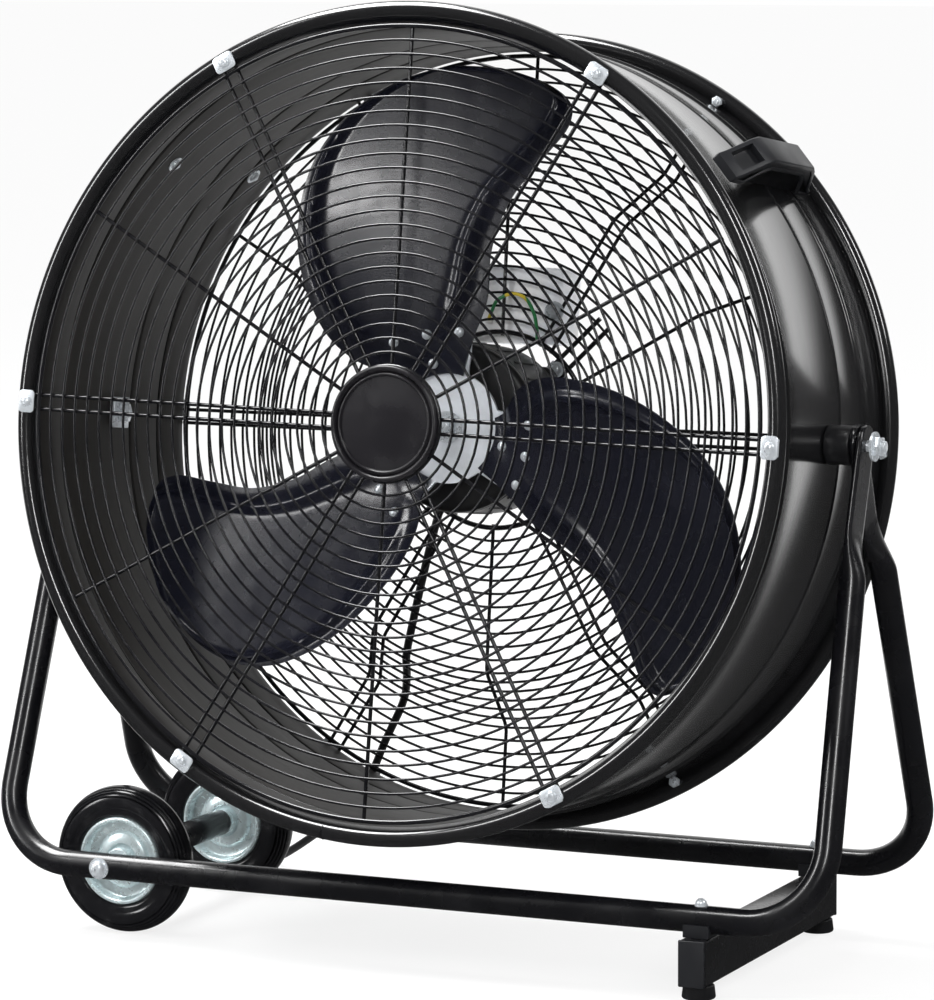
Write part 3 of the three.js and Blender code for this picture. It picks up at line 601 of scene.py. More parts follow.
@dataclass(frozen=True)
class EarthSheath:
    """Green insulation with a yellow stripe that winds slowly round it."""

    green: tuple[float, float, float] = (0.02, 0.2, 0.06)
    yellow: tuple[float, float, float] = (0.72, 0.55, 0.03)

    def build(self) -> Material:
        """Makes the material.

        Returns:
            The material.
        """
        shader = Shader("earth_sheath")
        x, _depth, z = shader.parts(shader.place(Place.DRUM))
        stripe = (x * 0.16 + z * 0.05).sine().ramp(-0.1, 0.25)
        shader.set(Base_Color=shader.blend(stripe, self.green, self.yellow), Roughness=0.42)
        shader.bump(shader.noise(shader.place(), 500.0), 0.02, 0.4)
        return shader.material


@dataclass(frozen=True)
class CoreSteel:
    """Stacked electrical steel sheets, seen on edge."""

    def build(self) -> Material:
        """Makes the material.

        Returns:
            The material.
        """
        shader = Shader("core_steel")
        _x, depth, _z = shader.parts(shader.place(Place.DRUM))
        sheets = (depth * 12.0).sine().ramp(-1.0, 1.0)
        shader.set(
            Base_Color=shader.blend(sheets, (0.22, 0.22, 0.24), (0.42, 0.42, 0.44)),
            Metallic=1.0,
            Roughness=0.45,
        )
        shader.bump(sheets, 0.15)
        return shader.material


# ------------------------------------------------------------------ mesh tools


def eased(share: float) -> float:
    """A share held between 0 and 1, with both of its ends eased."""
    share = min(max(share, 0.0), 1.0)
    return share * share * (3 - 2 * share)


def arc(centre: tuple[float, float], radius: float, start: float, end: float, steps: int) -> Points:
    """Points along an arc.

    Args:
        centre: the arc's centre.
        radius: its radius.
        start: the first angle, in degrees.
        end: the last angle, in degrees.
        steps: how many steps it takes.

    Returns:
        The points from start to end.
    """
    angles = [math.radians(start + (end - start) * i / steps) for i in range(steps + 1)]
    return [(centre[0] + radius * math.cos(a), centre[1] + radius * math.sin(a)) for a in angles]


def turned(profile: Profile, steps: int = 96, closed: bool = True) -> Mesh:
    """Spins a profile round the drum's own axis.

    Args:
        profile: pairs of radius and place ahead of the pivot.
        steps: how many steps go round.
        closed: whether the profile's end joins its start.

    Returns:
        The spun mesh.
    """
    mesh = bmesh.new()
    points = [mesh.verts.new((radius, -ahead, 0)) for radius, ahead in profile]
    lines = [mesh.edges.new(pair) for pair in zip(points, points[1:])]
    if closed:
        lines.append(mesh.edges.new((points[-1], points[0])))
    bmesh.ops.spin(mesh, geom=points + lines, cent=(0, 0, 0), axis=(0, 1, 0), dvec=(0, 0, 0),
                   angle=TURN, steps=steps, use_merge=True, use_duplicate=False)
    return tidied(mesh)


def tidied(mesh: Mesh) -> Mesh:
    """Merges doubled points, drops empty faces and turns the faces outwards.

    Args:
        mesh: the mesh to clean.

    Returns:
        The same mesh.
    """
    bmesh.ops.remove_doubles(mesh, verts=mesh.verts, dist=1e-4)
    bmesh.ops.dissolve_degenerate(mesh, edges=mesh.edges, dist=1e-5)
    bmesh.ops.recalc_face_normals(mesh, faces=mesh.faces)
    return mesh


def gathered(parts: Iterable[Mesh]) -> Mesh:
    """Puts several meshes into one and frees them.

    Args:
        parts: the meshes, which are freed.

    Returns:
        One mesh with all of them.
    """
    whole = bmesh.new()
    carrier = bpy.data.meshes.new("carrier")
    for part in parts:
        part.to_mesh(carrier)
        whole.from_mesh(carrier)
        part.free()
    bpy.data.meshes.remove(carrier)
    return whole


def moved(mesh: Mesh, matrix: Matrix) -> Mesh:
    """Moves a whole mesh and keeps its faces pointing out.

    Args:
        mesh: the mesh to move.
        matrix: the way it moves.

    Returns:
        The same mesh.
    """
    bmesh.ops.transform(mesh, matrix=matrix, verts=mesh.verts)
    if matrix.determinant() < 0:
        bmesh.ops.reverse_faces(mesh, faces=mesh.faces)
    return mesh


def about_axis(angle: float) -> Matrix:
    """A turn about the drum's axis that carries X towards Z, for an angle in radians."""
    return Matrix.Rotation(-angle, 4, "Y")


def towards(direction: Vector, at: Vector) -> Matrix:
    """Carries the Z axis to a direction, and the origin to a place."""
    turn = Vector((0, 0, 1)).rotation_difference(direction.normalized())
    return Matrix.Translation(at) @ turn.to_matrix().to_4x4()


def rod(start: Sequence[float], end: Sequence[float], radius: float, sides: int = 12) -> Mesh:
    """A straight round bar between two points.

    Args:
        start: the middle of one end.
        end: the middle of the other end.
        radius: the bar's radius.
        sides: how many sides it has.

    Returns:
        The mesh.
    """
    mesh = bmesh.new()
    line = Vector(end) - Vector(start)
    middle = (Vector(start) + Vector(end)) / 2
    bmesh.ops.create_cone(mesh, cap_ends=True, cap_tris=False, segments=sides, radius1=radius,
                          radius2=radius, depth=line.length, matrix=towards(line, middle))
    return mesh


def slab(size: Sequence[float], centre: Sequence[float], bevel: float = 0.0, segments: int = 3) -> Mesh:
    """A box with rounded edges.

    Args:
        size: its three widths.
        centre: its middle.
        bevel: the edges' radius.
        segments: the steps of the rounding.

    Returns:
        The mesh.
    """
    mesh = bmesh.new()
    bmesh.ops.create_cube(mesh, size=1.0, matrix=Matrix.LocRotScale(Vector(centre), None, Vector(size)))
    return rounded(mesh, list(mesh.edges), bevel, segments)


def rounded(mesh: Mesh, edges: list[bmesh.types.BMEdge], size: float, segments: int = 3) -> Mesh:
    """Bevels the given edges of a mesh.

    Args:
        mesh: the mesh to bevel.
        edges: the edges to round.
        size: the bevel's width, or 0 for none.
        segments: the steps of the rounding.

    Returns:
        The same mesh.
    """
    if size > 0 and edges:
        bmesh.ops.bevel(mesh, geom=edges, offset=size, offset_type="OFFSET", affect="EDGES",
                        segments=segments, profile=0.5, material=-1, clamp_overlap=True)
    return mesh


def plate(outline: Sequence[Sequence[float]], push: Vector, bevel: float = 0.0, segments: int = 2) -> Mesh:
    """Extrudes a flat outline into a plate.

    Args:
        outline: the corners, in order.
        push: the direction and length of the extrusion.
        bevel: the radius of the edges between the two faces and the rim.
        segments: the steps of the rounding.

    Returns:
        The mesh.
    """
    mesh = bmesh.new()
    face = mesh.faces.new([mesh.verts.new(point) for point in outline])
    grown = bmesh.ops.extrude_face_region(mesh, geom=[face])["geom"]
    bmesh.ops.translate(mesh, vec=push, verts=[v for v in grown if isinstance(v, bmesh.types.BMVert)])
    bmesh.ops.recalc_face_normals(mesh, faces=mesh.faces)
    along = push.normalized()
    rims = [e for e in mesh.edges if abs((e.verts[1].co - e.verts[0].co).normalized().dot(along)) < 0.5]
    return rounded(mesh, rims, bevel, segments)


def rounded_outline(half_width: float, low: float, high: float, corner: float, steps: int = 8) -> Points:
    """A rectangle with round corners, anticlockwise from its lower right corner.

    Args:
        half_width: half of its width.
        low: its lower edge.
        high: its upper edge.
        corner: the corners' radius.
        steps: the steps of each corner.

    Returns:
        The points, in order.
    """
    right, left = half_width - corner, corner - half_width
    bottom, top = low + corner, high - corner
    corners = [((right, bottom), -90), ((right, top), 0), ((left, top), 90), ((left, bottom), 180)]
    return [p for centre, start in corners for p in arc(centre, corner, start, start + 90, steps)]


def smooth_line(points: Sequence[Sequence[float]], per_span: int) -> list[Vector]:
    """A centripetal Catmull-Rom line through the given points.

    Args:
        points: the points that it passes.
        per_span: steps between one point and the next.

    Returns:
        The points along the line.
    """
    knots = [Vector(p) for p in points]
    ends = [2 * knots[0] - knots[1], *knots, 2 * knots[-1] - knots[-2]]
    line = []
    for i in range(len(knots) - 1):
        a, b, c, d = ends[i : i + 4]
        line.extend(_span_point(a, b, c, d, k / per_span) for k in range(per_span))
    return [*line, knots[-1]]


def _span_point(a: Vector, b: Vector, c: Vector, d: Vector, share: float) -> Vector:
    """A point between b and c on the centripetal line through a, b, c and d.

    Args:
        a: the point before the span.
        b: the span's start.
        c: the span's end.
        d: the point after the span.
        share: how far along the span, from 0 to 1.

    Returns:
        The point.
    """
    first = max((b - a).length ** 0.5, 1e-6)
    second = max((c - b).length ** 0.5, 1e-6)
    third = max((d - c).length ** 0.5, 1e-6)
    leave = ((b - a) / first - (c - a) / (first + second) + (c - b) / second) * second
    arrive = ((c - b) / second - (d - b) / (second + third) + (d - c) / third) * second
    s, t = share, share * share
    u = t * share
    return (2 * u - 3 * t + 1) * b + (u - 2 * t + s) * leave + (3 * t - 2 * u) * c + (u - t) * arrive


def flattened(curve: bpy.types.Curve) -> Mesh:
    """Turns a curve or a text into a mesh.

    Args:
        curve: the curve or text, which is removed.

    Returns:
        The mesh.
    """
    carrier = bpy.data.objects.new(curve.name, curve)
    bpy.context.scene.collection.objects.link(carrier)
    bpy.context.view_layer.update()
    evaluated = carrier.evaluated_get(bpy.context.evaluated_depsgraph_get())
    flat = bpy.data.meshes.new_from_object(evaluated)
    mesh = bmesh.new()
    mesh.from_mesh(flat)
    bpy.data.objects.remove(carrier)
    bpy.data.curves.remove(curve)
    bpy.data.meshes.remove(flat)
    return mesh


def hose(line: Sequence[Vector], radius: float, sides: int = 16) -> Mesh:
    """A closed round tube along a line, made from a bevelled curve.

    Args:
        line: the points of its middle line.
        radius: its radius.
        sides: how finely its section is rounded.

    Returns:
        The mesh.
    """
    curve = bpy.data.curves.new("hose", "CURVE")
    curve.dimensions = "3D"
    curve.bevel_depth = radius
    curve.bevel_resolution = max(0, sides // 4 - 1)
    curve.use_fill_caps = True
    spline = curve.splines.new("POLY")
    spline.points.add(len(line) - 1)
    for knot, place in zip(spline.points, line):
        knot.co = (*place, 1.0)
    return tidied(flattened(curve))


def wire_ring(radius: float, ahead: float, size: float, steps: int, sides: int = 8) -> Mesh:
    """A ring of round wire round the drum's axis."""
    return turned(arc((radius, ahead), size / 2, 0, 360 - 360 / sides, sides - 1), steps)


def skinned(rings: Sequence[Sequence[Vector]]) -> Mesh:
    """Bridges a row of closed rings of points into a tube and caps its two ends.

    Args:
        rings: the rings of points, in order.

    Returns:
        The mesh.
    """
    mesh = bmesh.new()
    loops = []
    for ring in rings:
        points = [mesh.verts.new(point) for point in ring]
        loops.append([mesh.edges.new(pair) for pair in zip(points, points[1:] + points[:1])])
    for first, second in zip(loops, loops[1:]):
        bmesh.ops.bridge_loops(mesh, edges=first + second)
    bmesh.ops.edgeloop_fill(mesh, edges=loops[0])
    bmesh.ops.edgeloop_fill(mesh, edges=loops[-1])
    bmesh.ops.recalc_face_normals(mesh, faces=mesh.faces)
    return mesh


def dome_screw(at: Vector, facing: Vector, head: float = 5.0, height: float = 3.0,
               washer: float = 0.0) -> Mesh:
    """A pan-head screw with a cross recess.

    Args:
        at: the middle of its seat.
        facing: the way that its head looks.
        head: the head's radius.
        height: the head's height.
        washer: the radius of a flat washer under it, or 0 for none.

    Returns:
        The mesh.
    """
    base = 1.2 if washer > 0 else 0.0
    slope = [(head, -(base + 0.6)), (head * 0.92, -(base + height * 0.55)),
             (head * 0.66, -(base + height * 0.85))]
    top = [(head * 0.4, -(base + height)), (head * 0.26, -(base + height)),
           (head * 0.2, -(base + height * 0.5))]
    rim = [(washer, 0.0), (washer, -base), (head, -base)] if washer > 0 else [(head, 0.0)]
    outline = [(radius, -ahead) for radius,
               ahead in [(0.0, 0.0), *rim, *slope, *top, (0.0, -(base + height * 0.5))]]
    mesh = turned(outline, 24, closed=False)
    arms = [slab((head * 1.1, 0.5, head * 0.24), (0, -(base + height * 0.96), 0), 0.1, 1),
            slab((head * 0.24, 0.5, head * 1.1), (0, -(base + height * 0.96), 0), 0.1, 1)]
    whole = gathered([mesh, *arms])
    return moved(whole, towards(facing, at) @ Matrix.Rotation(-math.pi / 2, 4, "X"))


def hex_nut(at: Vector, facing: Vector, across: float, height: float, thread: float = 0.0) -> Mesh:
    """A chamfered nut, with the rounded end of its bolt standing out where thread is given.

    Args:
        at: the middle of its seat.
        facing: the way that it looks.
        across: its width over the corners.
        height: its height.
        thread: the bolt's radius, or 0.

    Returns:
        The mesh.
    """
    mesh = rod((0, 0, 0), (0, 0, height), across / 2, 6)
    rims = [e for e in mesh.edges if abs(e.verts[0].co.z - e.verts[1].co.z) < 1e-6]
    parts = [rounded(mesh, rims, across * 0.06, 2)]
    if thread > 0:
        stub = rod((0, 0, 0), (0, 0, height + thread * 0.9), thread, 20)
        ends = [e for e in stub.edges if min(e.verts[0].co.z, e.verts[1].co.z) > height]
        parts.append(rounded(stub, ends, thread * 0.3, 2))
    return moved(gathered(parts), towards(facing, at))


@dataclass
class Fitter:
    """Turns finished meshes into pieces on their bodies, in the frame that they were built in.

    Attributes:
        place: the frame of the meshes.
        body: the body that the pieces ride on.
    """

    place: Place
    body: Body

    def fit(
        self,
        name: str,
        mesh: Mesh,
        material: Material,
        slot: Slot,
        nodes: Sequence[str] = (),
        sharp: float = 35.0,
    ) -> bpy.types.Object:
        """slot: the record's slot that it belongs to; not used.
            nodes: the model's nodes that it stands for.
            sharp: edges steeper than this many degrees stay sharp.

        Returns:
            The piece's object.
        """
        bmesh.ops.transform(mesh, matrix=self.place.matrix, verts=mesh.verts)
        data = bpy.data.meshes.new(name)
        mesh.to_mesh(data)
        mesh.free()
        data.materials.append(material)
        data.shade_smooth()
        data.set_sharp_from_angle(angle=math.radians(sharp))
        piece = bpy.data.objects.new(name, data)
        bpy.context.scene.collection.objects.link(piece)
        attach(piece, self.body.value)
        if nodes:
            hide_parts(*nodes)
        LOG.info("%s: %d faces on %s", name, len(data.polygons), self.body.value)
        return piece


@dataclass
class Finishes:
    """Every finish that the fan has, each built once."""

    drum: Material = field(default_factory=lambda: DrumPaint().build())
    wire: Material = field(
        default_factory=lambda: PowderCoat("wire_paint", (0.004, 0.004, 0.005), 0.16, 1.2, 0.4).build())
    frame: Material = field(
        default_factory=lambda: PowderCoat("frame_paint", (0.003, 0.003, 0.004), 0.26, 2.0, 0.3).build())
    blade: Material = field(
        default_factory=lambda: PowderCoat("blade_paint", (0.006, 0.0065, 0.012), 0.24, 1.2, 0.2).build())
    motor: Material = field(
        default_factory=lambda: PowderCoat("motor_paint", (0.006, 0.006, 0.0065), 0.36, 2.4).build())
    alloy: Material = field(default_factory=lambda: PlainAlloy().build())
    zinc: Material = field(default_factory=lambda: ZincPlate().build())
    wheel: Material = field(
        default_factory=lambda: ZincPlate("wheel_zinc", (0.76, 0.88, 0.9), 0.24, 1.8).build())
    core: Material = field(default_factory=lambda: CoreSteel().build())
    tyre: Material = field(default_factory=lambda: Rubber("tyre_rubber").build())
    foot: Material = field(default_factory=lambda: Rubber("foot_rubber", roughness=0.36).build())
    plastic: Material = field(
        default_factory=lambda: MouldedPlastic("black_plastic", (0.008, 0.0085, 0.0105), 0.36).build())
    badge: Material = field(default_factory=lambda: MouldedPlastic(
        "badge_plastic", (0.007, 0.0065, 0.008), 0.24, 900.0, 0.02).build())
    box: Material = field(
        default_factory=lambda: MouldedPlastic("box_plastic", (0.9, 0.93, 0.99), 0.4, 900.0, 0.03).build())
    cord: Material = field(
        default_factory=lambda: Rubber("cord_sheath", (0.01, 0.01, 0.011), 0.4).build())
    earth: Material = field(default_factory=lambda: EarthSheath().build())
    mark: Material = field(
        default_factory=lambda: MouldedPlastic("dial_marks", (0.02, 0.02, 0.02), 0.5).build())


# ------------------------------------------------------------------ camera, lights and floor


@dataclass(frozen=True)
class Viewpoint:
    """The camera that sees the fan as the photograph does.

    Attributes:
        place: where it stands, in mm, in the stand's frame.
        yaw: its turn to the left, in radians.
        pitch: how far it looks down, in radians.
        roll: its turn about its own axis, in radians.
        focal: the focal length, in pixels of the picture.
        picture_height: the picture's height, in pixels.
    """

    place: tuple[float, float, float] = (1645.2, -3607.0, 865.6)
    yaw: float = 0.4265
    pitch: float = 0.1254
    roll: float = -0.0047
    focal: float = 4852.6
    picture_height: float = 1000.0

    def build(self) -> None:
        """Makes the camera and hands it to the scene."""
        forward = Vector((-math.sin(self.yaw) * math.cos(self.pitch),
                          math.cos(self.yaw) * math.cos(self.pitch), -math.sin(self.pitch)))
        right = forward.cross(Vector((0, 0, 1))).normalized()
        up = right.cross(forward)
        level = math.cos(self.roll) * right + math.sin(self.roll) * up
        upright = math.cos(self.roll) * up - math.sin(self.roll) * right
        turn = Matrix((level, upright, -forward)).transposed().to_4x4()
        data = bpy.data.cameras.new("studio_camera")
        data.sensor_fit = "VERTICAL"
        data.sensor_height = 36.0
        data.lens = self.focal * data.sensor_height / self.picture_height
        data.clip_start = 0.1
        data.clip_end = 100.0
        camera = bpy.data.objects.new("studio_camera", data)
        camera.matrix_world = Matrix.Translation(Place.STAND.matrix @ Vector(self.place)) @ turn
        bpy.context.scene.collection.objects.link(camera)
        bpy.context.scene.camera = camera


@dataclass(frozen=True)
class Softbox:
    """One rectangular lamp.

    Attributes:
        name: its name.
        place: where it hangs, in metres.
        aim: the point that it looks at, in metres.
        size: its width and height, in metres.
        power: its power, in watts.
    """

    name: str
    place: tuple[float, float, float]
    aim: tuple[float, float, float]
    size: tuple[float, float]
    power: float

    def build(self) -> None:
        """Hangs the lamp."""
        data = bpy.data.lights.new(self.name, "AREA")
        data.shape = "RECTANGLE"
        data.size, data.size_y = self.size
        data.energy = self.power
        lamp = bpy.data.objects.new(self.name, data)
        way = Vector(self.aim) - Vector(self.place)
        lamp.matrix_world = Matrix.Translation(self.place) @ way.to_track_quat("-Z", "Y").to_matrix().to_4x4()
        lamp.visible_camera = False
        bpy.context.scene.collection.objects.link(lamp)


@dataclass
class Studio:
    """A white sweep with soft lamps."""

    ambient: float = 0.95
    mirrored: float = 0.05
    lamps: tuple[Softbox, ...] = (
        Softbox("key_left", (-2.4, -2.2, 1.7), (0, 0, 0.45), (0.4, 2.2), 46.0),
        Softbox("strip_front", (1.2, -3.3, 2.1), (0, 0, 0.4), (0.3, 1.6), 40.0),
        Softbox("side_right", (2.9, 0.2, 2.3), (0.1, 0, 0.4), (0.5, 1.4), 36.0),
        Softbox("top", (-1.1, -0.25, 2.8), (0, 0, 0.4), (1.9, 1.2), 150.0),
    )

    def build(self) -> None:
        """Sets the world, the lamps, the floor and the view transform."""
        scene = bpy.context.scene
        scene.view_settings.view_transform = "Standard"
        self._build_world(scene)
        for lamp in self.lamps:
            lamp.build()
        self._build_floor()

    def _build_world(self, scene: bpy.types.Scene) -> None:
        """White for the camera, with the white wall behind the fan in the paint's reflections.

        Args:
            scene: the scene that gets the world.
        """
        world = bpy.data.worlds.new("studio_world")
        world.use_nodes = True
        scene.world = world
        graph = Graph(world.node_tree)
        background = graph.find("BACKGROUND")
        x, y, _z = graph.parts(graph.node("ShaderNodeTexCoord", {}, {}, "Generated"))
        wall = (x - 0.22 * y).ramp(-0.06, 0.2, 1.0, 0.0) * y.ramp(0.3, 0.7)
        seen = graph.node("ShaderNodeLightPath", {}, {}, "Is Camera Ray")
        through = graph.node("ShaderNodeLightPath", {}, {}, "Is Transmission Ray")
        glossy = graph.node("ShaderNodeLightPath", {}, {}, "Is Glossy Ray")
        level = self.ambient + (seen + through) * (1.0 - self.ambient)
        shown = wall * (1.0 - self.mirrored) + (self.mirrored - self.ambient)
        graph.join((1, 1, 1, 1), background.inputs["Color"])
        graph.join(level + glossy * shown, background.inputs["Strength"])

    @staticmethod
    def _build_floor() -> None:
        """Lays a wide pale floor that keeps a soft shadow."""
        mesh = bmesh.new()
        bmesh.ops.create_grid(mesh, x_segments=1, y_segments=1, size=30.0)
        data = bpy.data.meshes.new("floor")
        mesh.to_mesh(data)
        mesh.free()
        shader = Shader("floor_paper")
        where = shader.place()
        grain = shader.noise(where, 60.0)
        shader.set(Base_Color=shader.blend(grain, (0.9, 0.9, 0.9), (0.94, 0.94, 0.94)), Roughness=0.85)
        shader.bump(grain, 0.1, 0.2)
        x, y, _z = shader.parts(where)
        side = (x - 0.456 * y).ramp(-0.35, 0.05, 1.0, 0.0)
        near = (x * x + y * y).root().ramp(3.0, 5.0, 1.0, 0.0) * side * y.ramp(0.0, 0.5)
        seen = shader.node("ShaderNodeLightPath", {}, {}, "Is Camera Ray")
        glossy = shader.node("ShaderNodeLightPath", {}, {}, "Is Glossy Ray")
        glow = shader.node("ShaderNodeEmission")
        plain = Expr(shader, shader.surface.outputs[0])
        dim = shader.node("ShaderNodeEmission", {}, {"Strength": 0.05})
        mirrored = shader.node("ShaderNodeMixShader", {}, {0: near, 1: dim, 2: glow})
        lit = shader.node("ShaderNodeMixShader", {}, {0: seen * 0.8, 1: plain, 2: glow})
        both = shader.node("ShaderNodeMixShader", {}, {0: glossy, 1: lit, 2: mirrored})
        shader.join(both, shader.find("OUTPUT_MATERIAL").inputs[0])
        data.materials.append(shader.material)
        floor = bpy.data.objects.new("floor", data)
        bpy.context.scene.collection.objects.link(floor)


# ------------------------------------------------------------------ cord


@dataclass
class MainsCord:
    """The free cord: from the clip on the rear rim to the floor, its coil and its plug.

    Attributes:
        coil_x: the coil's middle, across.
        coil_y: the coil's middle, in depth.
        inner: the coil's least radius.
        outer: the coil's greatest radius.
        turns: how many turns it has.
        lift: how far the upper layer lies above the lower one.
        floor: the height of the cord's middle where it lies on the floor.
        gap: the clearance at its two ends.
        bend: the radius of its bend below the clip.
        straight: how far it runs straight out of the clip.
    """

    finishes: Finishes
    coil_x: float = -330.0
    coil_y: float = 185.0
    inner: float = 30.0
    outer: float = 46.0
    turns: float = 4.25
    lift: float = 7.5
    floor: float = CORD_RADIUS + 0.05
    gap: float = 0.3
    bend: float = 22.0
    straight: float = 5.5

    def build(self) -> None:
        fitter = Fitter(Place.STAND, Body.STAND)
        run = self.free_line()
        coil = self.coil_line()
        plug = self._plug(fitter)
        cord = self._fit_cord("power_cord_run", run, ["power_cord"])
        looped = fitter.fit("power_cord_coil", hose(coil, CORD_RADIUS), self.finishes.cord, Slot.CORD,
                            ["cord_coil"])
        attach(looped, Body.STAND.value)

    def _fit_cord(self, name: str, line: list[Vector], nodes: list[str]) -> bpy.types.Object:
        """Makes the free run between the drum and the stand.

        Args:
            name: the piece's name.
            line: its middle line, in the stand's frame.
            nodes: the nodes that it replaces.

        Returns:
            The piece.
        """
        mesh = hose(line, CORD_RADIUS)
        bmesh.ops.transform(mesh, matrix=Place.STAND.matrix, verts=mesh.verts)
        data = bpy.data.meshes.new(name)
        mesh.to_mesh(data)
        mesh.free()
        data.materials.append(self.finishes.cord)
        data.shade_smooth()
        piece = bpy.data.objects.new(name, data)
        bpy.context.scene.collection.objects.link(piece)
        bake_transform(piece)
        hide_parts(*nodes)
        return piece

    @staticmethod
    def _metres(point: Vector) -> tuple[float, float, float]:
        """A place in the stand's frame as one in the model's."""
        return tuple(Place.STAND.matrix @ Vector(point))

    @staticmethod
    def _from_drum(point: Sequence[float]) -> Vector:
        """A place in the drum's frame as one in the stand's."""
        return Place.STAND.matrix.inverted() @ (Place.DRUM.matrix @ Vector(point))

    def free_line(self) -> list[Vector]:
        """The free run's middle line, from the clip to the coil, in the stand's frame.

        Returns:
            The points, in order.
        """
        end = self._from_drum(HeldLead.route[-1])
        way = (end - self._from_drum(HeldLead.route[-2])).normalized()
        start = end + way * self.gap
        arrive = self.coil_line()[0]
        over = Vector((-0.35, 0.93, 0.02))
        aside = (over - over.dot(way) * way).normalized()
        angles = [math.radians(15 * i) for i in range(1, 7)]
        knee = start + self.straight * way
        turn = [knee + self.bend * (math.sin(a) * way + (1 - math.cos(a)) * aside) for a in angles]
        route = [
            start, knee, *turn, (-158.9, 126.0, 82.9), (-161.8, 132.3, 81.9), (-165.4, 139.8, 79.5),
            (-171, 147.8, 75.2),
            (-179.2, 155.2, 69.2), (-189.6, 161.2, 61.4), (-202, 166.8, 51), (-224, 175.2, 36),
            (-246, 184.6, 22), (-266, 197.0, 11), (-283, 211.2, 5), (-297.6, 223.8, self.floor),
            (-306.4, 229.0, self.floor),
            arrive + Vector((self.gap + 7, 0, 0)), arrive + Vector((self.gap, 0, 0)),
        ]
        return smooth_line(route, 8)

    def coil_line(self) -> list[Vector]:
        """The coil's middle line: it spirals in on the floor, climbs, and spirals out on top.

        Returns:
            The points, in order.
        """
        steps = round(self.turns * 48)
        loops = [self._coil_point(i / steps) for i in range(steps + 1)]
        lead = 2 * CORD_RADIUS
        return [loops[0] + Vector((lead, 0, 0)), *loops, loops[-1] + Vector((0, -lead, 0))]

    def _coil_point(self, share: float) -> Vector:
        """A point of the coil, for a share of its turns.

        Args:
            share: from 0 at the coil's start to 1 at its end.

        Returns:
            The point.
        """
        half = self.turns / 2
        made = share * self.turns
        radius = self.inner + (self.outer - self.inner) * abs(made - half) / half
        climb = eased((made - half + 0.25) / 0.5)
        angle = math.pi / 2 + made * TURN
        return Vector((self.coil_x + radius * math.cos(angle), self.coil_y + radius * math.sin(angle),
                       self.floor + self.lift * climb))

    def _plug(self, fitter: Fitter) -> bpy.types.Object:
        """A moulded plug with its ribbed strain relief, two flat blades and an earth pin.

        Args:
            fitter: what lays a piece over the stand's nodes.

        Returns:
            The plug's body, which carries its pins.
        """
        end = self.coil_line()[-1]
        relief_length, length, width, height = 22.0, 34.0, 24.0, 22.0
        parts = [rod((0, 0, 0), (relief_length, 0, 0), 4.4, 20)]
        for i in range(5):
            grow = 4.9 + 0.5 * i
            parts.append(slab((2.4, 2 * grow, 2 * grow), (3 + 4 * i, 0, 0), 0.8))
        half = width / 2
        rings = []
        for along, scale in ((relief_length - 1, 0.55), (relief_length + 4, 0.85), (relief_length + 9, 0.98),
                             (relief_length + length - 2, 1.0), (relief_length + length, 0.93)):
            outline = rounded_outline(half * scale, -height * scale / 2, height * scale / 2, 7.0 * scale)
            rings.append([Vector((along, y, z)) for y, z in outline])
        parts.append(skinned(rings))
        face = relief_length + length
        body = gathered(parts)
        pins = gathered([
            slab((18, 1.5, 6.3), (face + 8.5, -6.3, 3), 0.4, 2),
            slab((18, 1.5, 6.3), (face + 8.5, 6.3, 3), 0.4, 2),
            rod((face - 1, 0, -5.5), (face + 18.5, 0, -5.5), 2.4, 16),
        ])
        place = Matrix.Translation((end.x, end.y - self.gap, max(end.z, height / 2 + 0.1)))
        turn = place @ Matrix.Rotation(-math.pi / 2, 4, "Z")
        plug = fitter.fit("plug_body", moved(body, turn), self.finishes.plastic, Slot.PLASTIC, ["mains_plug"])
        prongs = fitter.fit("plug_pins", moved(pins, turn), self.finishes.zinc, Slot.ZINC)
        prongs.parent = plug
        return plug


